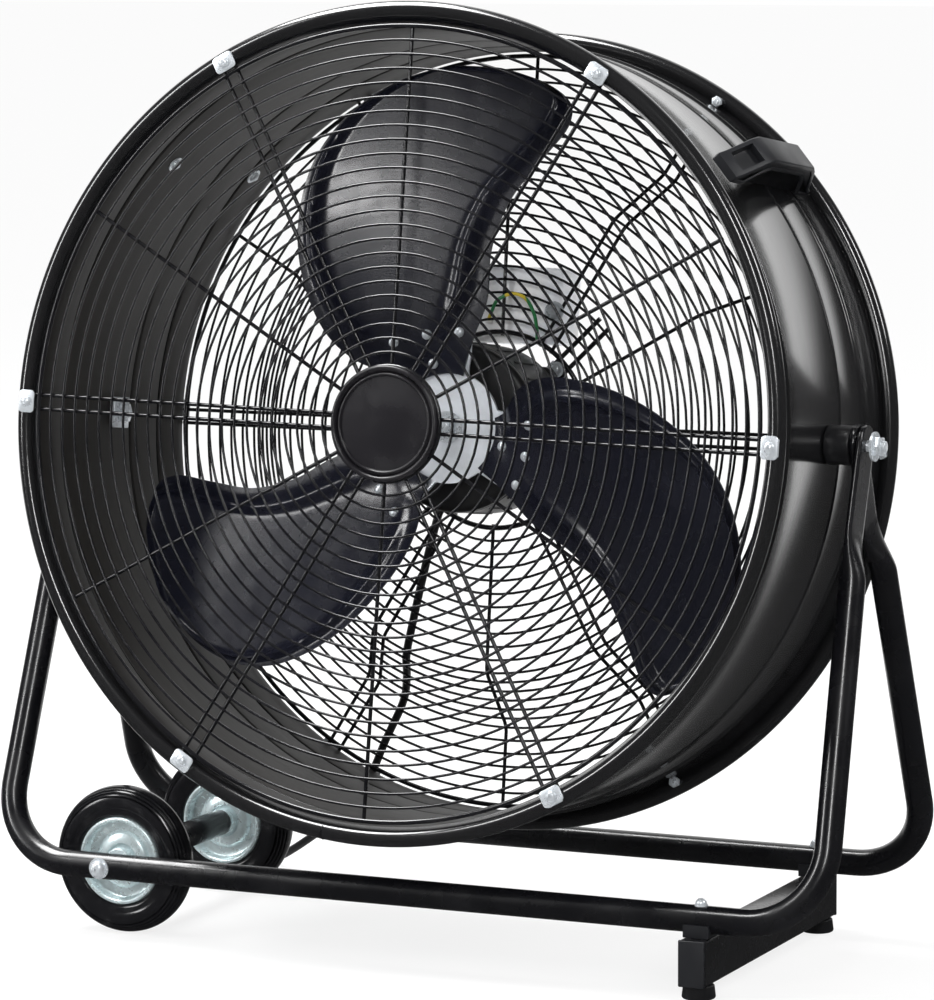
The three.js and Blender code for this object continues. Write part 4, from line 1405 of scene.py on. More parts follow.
class HeldLead:
    """The lead that the drum holds all the way: gland, run, clip, and the earth wire."""

    gland_x = -34.0
    gland_depth = 101.0
    box_low = 73.0
    route = [(-34, 101, 50), (-34, 101, 37), (-38, 100, 4), (-47, 96, -30), (-57, 90, -75), (-65, 87, -117),
             (-74, 86, -166), (-83, 96, -194), (-91, 116, -213), (-100, 131.5, -234), (-117, 134, -271),
             (-130, 140, -297), (-136, 140.6, -307)]
    earth_route = [(-14, 78.5, 92), (-8.9, 74, 99.6), (-3.4, 70.5, 107.7), (10.8, 69.3, 114),
                   (22.8, 69, 110.6), (31.2, 69, 98.7), (34.9, 68, 86.3), (36.5, 67.5, 74.2)]

    def __init__(self, finishes: Finishes) -> None:
        """Keeps the finishes."""
        self.finishes = finishes
        self.fitter = Fitter(Place.DRUM, Body.DRUM)

    def build(self) -> None:
        """Makes the held lead's pieces."""
        fit, finishes = self.fitter.fit, self.finishes
        fit("lead_run", hose(smooth_line(self.route, 8), CORD_RADIUS), finishes.cord, Slot.CORD,
            ["power_lead"])
        fit("earth_run", hose(smooth_line(self.earth_route, 10), 1.5, 12), finishes.earth, Slot.EARTH,
            ["earth_wire"])
        fit("gland_body", self._gland(), finishes.plastic, Slot.PLASTIC, ["cable_gland"])
        fit("lead_clip_body", self._clip(), finishes.plastic, Slot.PLASTIC, ["lead_clip"])

    def _gland(self) -> Mesh:
        """A gland with a round flange, a ribbed taper and a round mouth.

        Returns:
            The mesh.
        """
        profile = [(0.0, 0.0), (9.0, 0.0), (9.0, 4.0)]
        for i in range(5):
            drop = 5 + i * 3.2
            radius = 7.4 - i * 0.4
            profile += [(radius - 0.9, drop), (radius, drop + 0.8), (radius, drop + 2.0),
                        (radius - 0.9, drop + 2.8)]
        profile += [(5.0, 22.0), (0.0, 22.0)]
        mesh = turned([(radius, along) for radius, along in profile], 32, closed=False)
        place = Matrix.Translation((self.gland_x, self.gland_depth, self.box_low - 0.3))
        return moved(mesh, place @ Matrix.Rotation(math.pi / 2, 4, "X"))

    def _clip(self) -> Mesh:
        """The band that holds the lead's end at the rear rim.

        Returns:
            The mesh.
        """
        end, before = Vector(self.route[-1]), Vector(self.route[-2])
        way = (end - before).normalized()
        bore = CORD_RADIUS + 0.3
        profile = [(bore, 0.4), (bore + 0.4, 0.0), (bore + 2.9, 0.0), (bore + 3.3, 0.6), (bore + 3.3, 11.4),
                   (bore + 2.9, 12.0), (bore + 0.4, 12.0), (bore, 11.6)]
        mesh = turned(profile, 32)
        start = end - way * 13
        return moved(mesh, towards(way, start) @ Matrix.Rotation(-math.pi / 2, 4, "X"))


# ------------------------------------------------------------------ drum


@dataclass
class DrumShell:
    """The rolled sheet drum with its two beads and three pressed ribs."""

    finishes: Finishes
    rib_places: tuple[float, ...] = (94.0, -25.0, -75.0)
    rib_heights: tuple[float, ...] = (2.6, 1.2, 2.2)
    rib_half: float = 2.8
    steps: int = 240

    def build(self) -> None:
        """Makes the shell and its seam."""
        fitter = Fitter(Place.DRUM, Body.DRUM)
        shell = turned(self._profile(), self.steps)
        fitter.fit("drum_wall", shell, self.finishes.drum, Slot.SHELL, ["drum_shell"], 50)
        fitter.fit("bead_seam", self._seams(), self.finishes.frame, Slot.SHELL)

    def _wall(self, radius: float, start: float, end: float) -> Points:
        """The wall's line from one place to another, with its ribs.

        Args:
            radius: the radius between the ribs.
            start: where it starts, ahead of the pivot.
            end: where it ends.

        Returns:
            Pairs of radius and place ahead.
        """
        places = [start]
        for rib in self.rib_places:
            places += [rib + self.rib_half * (1 - i / 6) for i in range(13)]
        places = sorted([*places, end], reverse=start > end)
        return [(radius + self._swell(place), place) for place in places]

    def _swell(self, place: float) -> float:
        """How far the ribs push the sheet out at a place.

        Args:
            place: a place ahead of the pivot.

        Returns:
            The push, in millimetres.
        """
        total = 0.0
        for rib, height in zip(self.rib_places, self.rib_heights):
            share = min(abs(place - rib) / self.rib_half, 1.0)
            total += height * (1 + math.cos(math.pi * share)) / 2
        return total

    def _profile(self) -> Points:
        """The closed section of the sheet, starting inside at the front.

        Returns:
            Pairs of radius and place ahead.
        """
        bore = DRUM_RADIUS - DRUM_WALL
        front = arc((BEAD_CENTRE, FRONT_RIM), BEAD_RADIUS, 160, -150, 22)
        rear = arc((BEAD_CENTRE, REAR_RIM), BEAD_RADIUS, 150, -160, 22)
        outside = self._wall(DRUM_RADIUS, FRONT_RIM - 7, REAR_RIM + 7)
        inside = self._wall(bore, REAR_RIM + 3, FRONT_RIM - 3)
        return [*front, *outside, *rear, *inside]

    def _seams(self) -> Mesh:
        """The small weld seam where each bead's ends meet, at the bottom.

        Returns:
            The mesh.
        """
        parts = []
        for rim in (FRONT_RIM, REAR_RIM):
            ring = arc((BEAD_CENTRE, rim), BEAD_RADIUS + 0.12, 130, -130, 16)
            band = [Vector((radius, -ahead, 0)) for radius, ahead in ring]
            parts.append(moved(hose(band, 0.35, 8), about_axis(math.radians(263))))
        return gathered(parts)


@dataclass
class WireGuards:
    """The front and the rear guard of welded round wire."""

    finishes: Finishes
    ring_wire: float = 2.3
    spoke_wire: float = 3.2
    rim_wire: float = 4.0
    pitch: float = 11.3
    hub_radius: float = 46.0
    stub_from: float = 57.0
    stub_to: float = 130.0

    def build(self) -> None:
        """Makes both guards."""
        fitter = Fitter(Place.DRUM, Body.DRUM)
        fitter.fit("front_guard_wires", self._front(), self.finishes.wire, Slot.WIRE, ["front_grille"], 60)
        fitter.fit("rear_guard_wires", self._rear(), self.finishes.wire, Slot.WIRE, ["rear_grille"], 60)

    def _ring_steps(self, radius: float) -> int:
        """How many steps a ring takes, so that none looks angular."""
        return max(48, round(radius * 0.55))

    def _front(self) -> Mesh:
        """Flat rings in front of six pairs and six single spokes.

        Returns:
            The mesh.
        """
        lift = (self.ring_wire + self.spoke_wire) / 2 - 0.3
        parts = [wire_ring(self.hub_radius, GUARD_PLANE + lift, self.rim_wire, 72),
                 wire_ring(GUARD_LAST, GUARD_PLANE + lift, self.rim_wire, 180)]
        count = round((GUARD_LAST - self.hub_radius) / self.pitch)
        for i in range(1, count):
            radius = self.hub_radius + (GUARD_LAST - self.hub_radius) * i / count
            parts.append(wire_ring(radius, GUARD_PLANE + lift, self.ring_wire, self._ring_steps(radius), 7))
        for i in range(6):
            turn = math.radians(60 * i) + GUARD_TURN
            for side in (-PAIR_HALF, PAIR_HALF):
                spoke = rod((self.hub_radius - 2, -GUARD_PLANE, side), (GUARD_LAST + 4, -GUARD_PLANE, side),
                            self.spoke_wire / 2)
                parts.append(moved(spoke, about_axis(turn)))
            single = rod((self.hub_radius - 2, -GUARD_PLANE, 0), (GUARD_LAST + 1, -GUARD_PLANE, 0),
                         self.spoke_wire / 2)
            parts.append(moved(single, about_axis(turn + math.pi / 6)))
        return gathered(parts)

    @staticmethod
    def depth_at(radius: float) -> float:
        """The rear guard's place ahead of the pivot at a radius: a flat middle, a cone, a flat band."""
        share = (radius - REAR_BEND_IN) / (REAR_BEND_OUT - REAR_BEND_IN)
        return REAR_INNER + (REAR_RIM - REAR_INNER) * min(max(share, 0.0), 1.0)

    def _rear(self) -> Mesh:
        """Dished rings and bent spokes, with the short pairs that carry the motor.

        Returns:
            The mesh.
        """
        lift = (self.ring_wire + self.spoke_wire) / 2 - 0.3
        parts = [wire_ring(MOTOR_RING, REAR_INNER + lift, 4.4, 96),
                 wire_ring(GUARD_LAST, REAR_RIM + lift, self.rim_wire, 180)]
        for radius in self._rear_radii():
            parts.append(wire_ring(radius, self.depth_at(radius) + lift, self.ring_wire,
                                   self._ring_steps(radius), 7))
        for i in range(6):
            turn = about_axis(math.radians(60 * i))
            for side in (-PAIR_HALF, PAIR_HALF):
                parts.append(moved(self._bent(MOTOR_RING - 3, GUARD_LAST + 4, side), turn))
            single = self._bent(MOTOR_RING - 3, GUARD_LAST + 1, 0)
            parts.append(moved(single, turn @ about_axis(math.pi / 6)))
        for i in range(4):
            turn = about_axis(math.radians(45 + 90 * i))
            for side in (-PAIR_HALF, PAIR_HALF):
                stub = rod((self.stub_from, -REAR_INNER, side), (self.stub_to, -REAR_INNER, side), 2.0)
                parts.append(moved(stub, turn))
        return gathered(parts)

    def _rear_radii(self) -> list[float]:
        """The light rings' radii, spaced evenly along the dished line.

        Returns:
            The radii, from the inside out.
        """
        slope = math.hypot(REAR_BEND_OUT - REAR_BEND_IN, REAR_RIM - REAR_INNER)
        inner = REAR_BEND_IN - MOTOR_RING
        whole = inner + slope + GUARD_LAST - REAR_BEND_OUT
        count = round(whole / self.pitch)
        radii = []
        for i in range(1, count):
            along = whole * i / count
            if along < inner:
                radii.append(MOTOR_RING + along)
            elif along < inner + slope:
                radii.append(REAR_BEND_IN + (REAR_BEND_OUT - REAR_BEND_IN) * (along - inner) / slope)
            else:
                radii.append(REAR_BEND_OUT + along - inner - slope)
        return radii

    def _bent(self, start: float, end: float, side: float) -> Mesh:
        """A spoke that follows the dish, with small bends where it changes slope.

        Args:
            start: the spoke's inner radius.
            end: its outer radius.
            side: how far it stands beside the radius.

        Returns:
            The mesh.
        """
        radii = [start, REAR_BEND_IN - 4, REAR_BEND_IN, REAR_BEND_IN + 4, REAR_BEND_OUT - 4, REAR_BEND_OUT,
                 REAR_BEND_OUT + 4, end]
        ease = {REAR_BEND_IN: REAR_INNER - 1.2, REAR_BEND_OUT: REAR_RIM + 1.2}
        line = [Vector((radius, -ease.get(radius, self.depth_at(radius)), side)) for radius in radii]
        return hose(line, self.spoke_wire / 2, 12)


@dataclass
class GuardFittings:
    """The clips that hold the guards, their screws, and the centre badge."""

    finishes: Finishes
    reach: float = 326.5
    clip_width: float = 14.0
    clip_height: float = 18.5
    clip_thick: float = 1.6

    def build(self) -> None:
        """Makes six front clips, six rear clips and the badge."""
        fitter = Fitter(Place.DRUM, Body.DRUM)
        for i in range(6):
            front = self._clip(FRONT_RIM + BEAD_RADIUS + 0.2, 1, i)
            fitter.fit(f"front_clip_{i + 1}", front, self.finishes.zinc, Slot.ZINC, [f"grille_clip_{i + 1}"])
            rear = self._clip(REAR_RIM - BEAD_RADIUS - 0.2, -1, i)
            fitter.fit(f"rear_clip_{i + 1}", rear, self.finishes.zinc, Slot.ZINC)
        fitter.fit("badge_face", self._badge(), self.finishes.badge, Slot.PLASTIC, ["centre_badge"], 30)

    def _clip(self, seat: float, facing: int, index: int) -> Mesh:
        """A pressed washer plate with chamfered corners, a dome screw and its lock nut.

        Args:
            seat: the place ahead of the pivot that it rests on.
            facing: 1 when it looks forward, -1 when it looks back.
            index: which of the six it is.

        Returns:
            The mesh.
        """
        half, tall = self.clip_width / 2, self.clip_height / 2
        outline = [(self.reach + x, -seat, z) for x, z in rounded_outline(half, -tall, tall, 3.2, 3)]
        push = Vector((0, -self.clip_thick * facing, 0))
        face = seat + self.clip_thick * facing
        screw = dome_screw(Vector((self.reach, -face, 0)), Vector((0, -facing, 0)), 4.6, 3.0)
        lip = slab((2.0, 4.0, tall * 1.5), (self.reach + half - 0.8, -seat + 1.6 * facing, 0), 0.6)
        shank = rod((self.reach, -seat, 0), (self.reach, -seat + 18 * facing, 0), 2.4)
        nut = hex_nut(Vector((self.reach, -seat + 14.6 * facing, 0)), Vector((0, facing, 0)), 9.2, 4.5, 2.4)
        parts = gathered([plate(outline, push, 0.5), screw, lip, shank, nut])
        return moved(parts, about_axis(math.radians(60 * index) + GUARD_TURN))

    @staticmethod
    def _badge() -> Mesh:
        """A plain round badge: a rounded rim, a groove, a thin raised ring and a dished face.

        Returns:
            The mesh.
        """
        front = GUARD_PLANE + 4.6
        rim = arc((44.4, front + 3.8), 2.2, -20, 150, 10)
        ring = arc((39.2, front + 3.4), 1.3, 20, 160, 8)
        profile = [(0.0, front), (46.4, front), *rim, (41.6, front + 2.4), *ring, (37.4, front + 3.0),
                   (34.0, front + 3.2), (15.0, front + 4.2), (0.0, front + 4.4)]
        return turned(profile, 128, closed=False)


@dataclass
class Rotor:
    """Three pressed blades, the plain spider that carries them, and their hub."""

    finishes: Finishes
    skin: float = 2.0
    rows: int = 96
    columns: int = 90
    seat_start: float = 44.0
    seat_end: float = 64.0
    leading: Profile = ((44, -17), (60, -14.5), (78, -14), (105, -14.5), (145, -11), (187, -12),
                        (229, -16.2), (266, -18.9), (284, -17.2), (292, -12.4), (296, -6))
    trailing: Profile = ((44, 42), (60, 46), (78, 53), (102, 53.5), (156, 44.5), (205, 35.1), (246, 25.8),
                         (272, 16.9), (288, 8.2), (294, 2), (296, -5))
    rivet_places: Profile = ((53, 15), (78, -5), (77, 14), (80, 33))

    def build(self) -> None:
        """Makes the blades, rivets, spider and hub."""
        fitter = Fitter(Place.DRUM, Body.ROTOR)
        for i in range(3):
            turn = about_axis(math.radians(90 + 120 * i))
            blade = moved(self._blade(), turn)
            fitter.fit(f"blade_skin_{i + 1}", blade, self.finishes.blade, Slot.BLADE, [f"blade_{i + 1}"], 40)
            rivets = moved(gathered(self._rivet(*place) for place in self.rivet_places), turn)
            fitter.fit(f"blade_rivets_{i + 1}", rivets, self.finishes.zinc, Slot.ZINC)
        fitter.fit("spider_plate", self._spider(), self.finishes.alloy, Slot.ALLOY, ["blade_spider"], 40)
        fitter.fit("shaft_end", self._shaft_end(), self.finishes.zinc, Slot.ZINC)

    @staticmethod
    def face(radius: float, angle: float) -> float:
        """The blade's height ahead of the pivot; the angle is in radians from its middle line.

        Args:
            radius: a distance from the axis.
            angle: the angle from the blade's middle line.

        Returns:
            The height.
        """
        share = radius / 200
        pitch = 71 + 48 * (share - 1) - 54 * (share - 1) ** 2
        return 27.2 + pitch * angle + 16.5 * angle * angle * share

    def seated(self, radius: float, angle: float) -> float:
        """The face's height where the root comes down flat on the spider's middle.

        Args:
            radius: a distance from the axis.
            angle: the angle from the blade's middle line, in radians.

        Returns:
            The height.
        """
        share = eased((radius - self.seat_start) / (self.seat_end - self.seat_start))
        flat = self.face(60, 0)
        return flat + (self.face(radius, angle) - flat) * share

    @staticmethod
    def point(radius: float, angle: float, ahead: float) -> Vector:
        """A place in the drum's frame from its radius, angle and height."""
        return Vector((radius * math.cos(angle), -ahead, radius * math.sin(angle)))

    def _blade(self) -> Mesh:
        """One blade lying along +X: a grid laid on the twisted face, embossed, then given its thickness.

        Returns:
            The mesh.
        """
        mesh = bmesh.new()
        bmesh.ops.create_grid(mesh, x_segments=self.rows, y_segments=self.columns, size=0.5)
        lead = [Vector((r, a, 0)) for r, a in self.leading]
        trail = [Vector((r, a, 0)) for r, a in self.trailing]
        spans = len(lead) - 1
        fine = 16
        lead_line, trail_line = smooth_line(lead, fine), smooth_line(trail, fine)
        for vertex in mesh.verts:
            row = min(max(vertex.co.x + 0.5, 0.0), 1.0)
            across = min(max(vertex.co.y + 0.5, 0.0), 1.0)
            first = self._sample(lead_line, row * spans * fine)
            second = self._sample(trail_line, row * spans * fine)
            mixed = first.lerp(second, across)
            radius, angle = mixed.x, math.radians(mixed.y)
            vertex.co = self.point(radius, angle, self.seated(radius, angle)
                                   + self._emboss(row, across, radius))
        bmesh.ops.recalc_face_normals(mesh, faces=mesh.faces)
        if sum(f.normal.y for f in mesh.faces) > 0:
            bmesh.ops.reverse_faces(mesh, faces=mesh.faces)
        return self._backed(mesh)

    def _backed(self, mesh: Mesh) -> Mesh:
        """Gives the pressed face its back and its edge.

        Args:
            mesh: the open face.

        Returns:
            The closed body.
        """
        made = bmesh.ops.extrude_face_region(mesh, geom=mesh.faces[:], use_keep_orig=True)
        back = [part for part in made["geom"] if isinstance(part, bmesh.types.BMVert)]
        bmesh.ops.translate(mesh, verts=back, vec=Vector((0, self.skin, 0)))
        return tidied(mesh)

    @staticmethod
    def _sample(line: list[Vector], at: float) -> Vector:
        """A point along a list of points, between its neighbours."""
        low = min(int(at), len(line) - 2)
        return line[low].lerp(line[low + 1], at - low)

    @staticmethod
    def _emboss(row: float, across: float, radius: float) -> float:
        """The pressed shape: a raised bead inside the border and a flat panel within it.

        Args:
            row: the share of the way out to the tip.
            across: the share of the way from the leading to the trailing edge.
            radius: the point's radius, in mm.

        Returns:
            How far the face stands forward there, in mm.
        """
        width = radius * 1.05
        lead_side, trail_side, tip = across * width, (1 - across) * width, (1 - row) * 240
        root = min(max((radius - 70) / 36, 0.0), 1.0)
        total = 0.0
        for inside, place, half in ((min(lead_side, tip), 20.0, 6.5), (min(trail_side, tip), 16.0, 5.0)):
            total = max(total, 6.0 * math.exp(-(((inside - place) / half) ** 2)))
        return total * root

    def _rivet(self, radius: float, degrees: float) -> Mesh:
        """A rivet's domed head, square on the blade.

        Args:
            radius: its distance from the axis.
            degrees: its angle from the blade's middle line.

        Returns:
            The mesh.
        """
        angle = math.radians(degrees)
        here = self.point(radius, angle, self.seated(radius, angle))
        along = self.point(radius + 1, angle, self.seated(radius + 1, angle)) - here
        across = self.point(radius, angle + 0.01, self.seated(radius, angle + 0.01)) - here
        normal = along.cross(across).normalized()
        if normal.y > 0:
            normal.negate()
        profile = [(0.0, -3.0), (4.2, -3.0), (4.2, 0.5), (3.6, 1.6), (2.2, 2.3), (0.0, 2.6)]
        mesh = turned(profile, 20, closed=False)
        return moved(mesh, towards(normal, here) @ Matrix.Rotation(-math.pi / 2, 4, "X"))

    def _spider(self) -> Mesh:
        """The spider's plate: a disc with three arms that twist to lie behind the blades.

        Returns:
            The mesh.
        """
        mesh = bmesh.new()
        steps, rings = 240, 24
        bmesh.ops.create_grid(mesh, x_segments=rings, y_segments=steps, size=0.5)
        for vertex in mesh.verts:
            share, around = vertex.co.x + 0.5, (vertex.co.y + 0.5) * 360
            vertex.co = self._spider_point(share, around)
        bmesh.ops.remove_doubles(mesh, verts=mesh.verts, dist=1e-3)
        bmesh.ops.recalc_face_normals(mesh, faces=mesh.faces)
        if sum(f.normal.y for f in mesh.faces) > 0:
            bmesh.ops.reverse_faces(mesh, faces=mesh.faces)
        bmesh.ops.solidify(mesh, geom=mesh.faces[:], thickness=2.6)
        return tidied(mesh)

    def _spider_point(self, share: float, around: float) -> Vector:
        """A point of the spider's face, for a share of the way out and an angle in degrees.

        Args:
            share: how far out, from the bore to the edge.
            around: the angle round the axis.

        Returns:
            The point.
        """
        local = ((around - 90 - 14) % 120 + 180) % 120 - 60
        arm = eased((36 - abs(local)) / 16)
        edge = 46 + (91 - 46) * arm
        radius = 6.3 + (edge - 6.3) * share
        ahead = self.seated(radius, math.radians(local + 14)) - self.skin - 0.9
        return self.point(radius, math.radians(around), ahead)

    def _shaft_end(self) -> Mesh:
        """The shaft's end with its washer and nut in front of the spider.

        Returns:
            The mesh.
        """
        seat = self.face(60, 0) - 2.5
        washer = turned([(6.4, seat), (13.0, seat), (13.0, seat + 1.6), (6.4, seat + 1.6)], 48)
        nut = hex_nut(Vector((0, -(seat + 1.6), 0)), Vector((0, -1, 0)), 17.0, 5.0, 5.6)
        return gathered([washer, nut])


@dataclass
class Motor:
    """The motor's black housing, standing on the rear guard by four feet."""

    finishes: Finishes
    radius: float = 70.0

    def build(self) -> None:
        """Makes the housing, its feet and their nuts."""
        fitter = Fitter(Place.DRUM, Body.DRUM)
        fitter.fit("motor_housing", self._housing(), self.finishes.motor, Slot.MOTOR,
                   ["motor_can", "motor_front_bell", "motor_rear_bell"])
        fitter.fit("motor_nuts", self._nuts(), self.finishes.zinc, Slot.ZINC)
        for node, material in (("stator_core", self.finishes.core), ("rotor_core", self.finishes.core),
                               ("bearing_front", self.finishes.zinc), ("bearing_rear", self.finishes.zinc),
                               ("motor_shaft", self.finishes.zinc), ("hub_collar", self.finishes.alloy)):
            repaint(node, material)

    def _housing(self) -> Mesh:
        """Front bell, ribbed can, rear bell, feet.

        Returns:
            The mesh.
        """
        front = [(0.0 + 6.6, 14.0), (24.0, 14.0), *arc((24.0, 11.5), 2.5, 90, 20, 4), (30.0, 11.0),
                 *arc((64.0, 4.0), 6.0, 90, 5, 8), (70.0, 2.2)]
        can = [(68.6, 1.6), (68.6, 0.4), (70.0, -0.2), (70.0, -58.0), (68.6, -58.6), (68.6, -59.8)]
        rear = [(70.0, -60.4), *arc((64.0, -60.5), 6.0, -5, -85, 8), (30.0, -68.0), (24.0, -69.0),
                (6.6, -69.0)]
        inner = [(6.6, -66.0), (60.0, -62.0), (66.5, -58.0), (66.5, -2.0), (60.0, 6.0), (6.6, 10.5)]
        parts = [turned([*front, *can, *rear, *inner], 96)]
        for i in range(24):
            fin = slab((1.6, 44.0, 2.2), (self.radius + 0.2, 30.0, 0), 0.5, 1)
            parts.append(moved(fin, about_axis(math.radians(15 * i + 7.5))))
        for i in range(4):
            foot = rod((65, 61, 0), (65, 75.4, 0), 8.0, 28)
            parts.append(moved(foot, about_axis(math.radians(45 + 90 * i))))
        return gathered(parts)

    @staticmethod
    def _nuts() -> Mesh:
        """A clamp washer, a nut and a stud end behind the guard at each foot, and the front studs.

        Returns:
            The mesh.
        """
        parts = []
        for i in range(4):
            washer = slab((20, 2, 20), (65, 80.6, 0), 0.6)
            nut = hex_nut(Vector((65, 81.6, 0)), Vector((0, 1, 0)), 13.0, 5.5, 3.2)
            head = dome_screw(Vector((74.0, 74.0, 0)), Vector((0, -1, 0)), 4.6, 3.4, 6.5)
            turn = about_axis(math.radians(45 + 90 * i))
            parts += [moved(washer, turn), moved(nut, turn), moved(head, turn)]
        return gathered(parts)


@dataclass
class ControlBox:
    """The switch box behind the rear guard, with its knob and dial."""

    finishes: Finishes
    half_width: float = 51.0
    low: float = 73.0
    high: float = 137.0
    front: float = 82.0
    rear: float = 120.0
    corner: float = 9.0

    def build(self) -> None:
        """Makes the box, lid, screws, dial and knob."""
        fitter = Fitter(Place.DRUM, Body.DRUM)
        fitter.fit("box_body", self._body(), self.finishes.box, Slot.BOX, ["switch_box"])
        fitter.fit("box_lid", self._lid(), self.finishes.box, Slot.BOX, ["switch_box_lid"])
        fitter.fit("box_screws", self._screws(), self.finishes.zinc, Slot.ZINC)
        fitter.fit("dial_numbers", self._dial(), self.finishes.mark, Slot.PLASTIC)
        Fitter(Place.DRUM, Body.KNOB).fit("knob_body", self._knob(), self.finishes.plastic, Slot.PLASTIC,
                                          ["speed_knob"])
        repaint("speed_switch", self.finishes.plastic)
        repaint("run_capacitor", self.finishes.plastic)

    @property
    def middle(self) -> float:
        """The height of the box's middle above the pivot."""
        return (self.low + self.high) / 2

    def _outline(self, depth: float, inset: float = 0.0) -> list[tuple[float, float, float]]:
        """The box's rounded outline at a depth."""
        points = rounded_outline(self.half_width - inset, self.low + inset, self.high - inset,
                                 self.corner - inset / 2)
        return [(x, depth, z) for x, z in points]

    def _body(self) -> Mesh:
        """A tray with rounded edges, open towards the lid, with a small bracket on its front.

        Returns:
            The mesh.
        """
        rings = [self._outline(self.front, 2.0), self._outline(self.front + 0.6, 0.6),
                 self._outline(self.front + 2.0), self._outline(self.rear - 3.3),
                 self._outline(self.rear - 3.3, 2.0), self._outline(self.front + 4.0, 2.2)]
        tray = skinned([[Vector(point) for point in ring] for ring in rings])
        boss = rod((-14, self.front - 2.0, 92), (-14, self.front + 1, 92), 3.4, 20)
        return gathered([tray, boss])

    def _lid(self) -> Mesh:
        """The lid behind the box, with a soft outer edge.

        Returns:
            The mesh.
        """
        rings = [self._outline(self.rear - 3.0), self._outline(self.rear - 1.0),
                 self._outline(self.rear - 0.3, 0.7), self._outline(self.rear, 2.0)]
        return skinned([[Vector(point) for point in ring] for ring in rings])

    def _screws(self) -> Mesh:
        """Four lid screws, and the bolts that hold the box to the guard.

        Returns:
            The mesh.
        """
        parts = []
        for x in (-self.half_width + 8, self.half_width - 8):
            for z in (self.low + 8, self.high - 8):
                parts.append(dome_screw(Vector((x, self.rear, z)), Vector((0, 1, 0)), 3.2, 1.8))
        parts.append(dome_screw(Vector((47.0, 76.0, 100.5)), Vector((0, -1, 0)), 6.4, 4.2, 8.5))
        parts.append(rod((47.0, 75.0, 100.5), (47.0, 83.0, 100.5), 3.0))
        parts.append(dome_screw(Vector((-47.0, 76.0, 100.5)), Vector((0, -1, 0)), 6.4, 4.2, 8.5))
        parts.append(rod((-47.0, 75.0, 100.5), (-47.0, 83.0, 100.5), 3.0))
        return gathered(parts)

    def _dial(self) -> Mesh:
        """Plain numbers round the knob, one for each place that it clicks into.

        Returns:
            The mesh.
        """
        parts = []
        for number in range(4):
            angle = math.radians(90 + 45 * number)
            text = bpy.data.curves.new("dial", "FONT")
            text.body = str(number)
            text.size = 9.0
            text.extrude = 0.25
            text.align_x = "CENTER"
            text.align_y = "CENTER"
            mesh = flattened(text)
            bmesh.ops.remove_doubles(mesh, verts=mesh.verts, dist=1e-4)
            place = Vector((25 * math.cos(angle), self.rear + 0.1, self.middle + 25 * math.sin(angle)))
            facing = Matrix.Rotation(math.pi, 4, "Z") @ Matrix.Rotation(math.pi / 2, 4, "X")
            parts.append(moved(mesh, Matrix.Translation(place) @ facing))
        return gathered(parts)

    def _knob(self) -> Mesh:
        """A skirted pointer knob with a ribbed grip.

        Returns:
            The mesh.
        """
        start = self.rear + 0.3
        skirt = [(0.0, -start), (17.0, -start), (17.0, -start - 2.0), (16.2, -start - 3.0),
                 (12.2, -start - 3.6), (11.6, -start - 13.0), (10.4, -start - 14.0), (0.0, -start - 14.0)]
        parts = [turned(skirt, 64, closed=False)]
        parts.append(slab((5, 11, 29), (0, start + 8, 0), 1.2))
        for i in range(20):
            rib = slab((1.2, 9.0, 1.4), (11.9, start + 8.4, 0), 0.4, 1)
            parts.append(moved(rib, about_axis(TURN * i / 20)))
        return moved(gathered(parts), Matrix.Translation((0, 0, self.middle)))


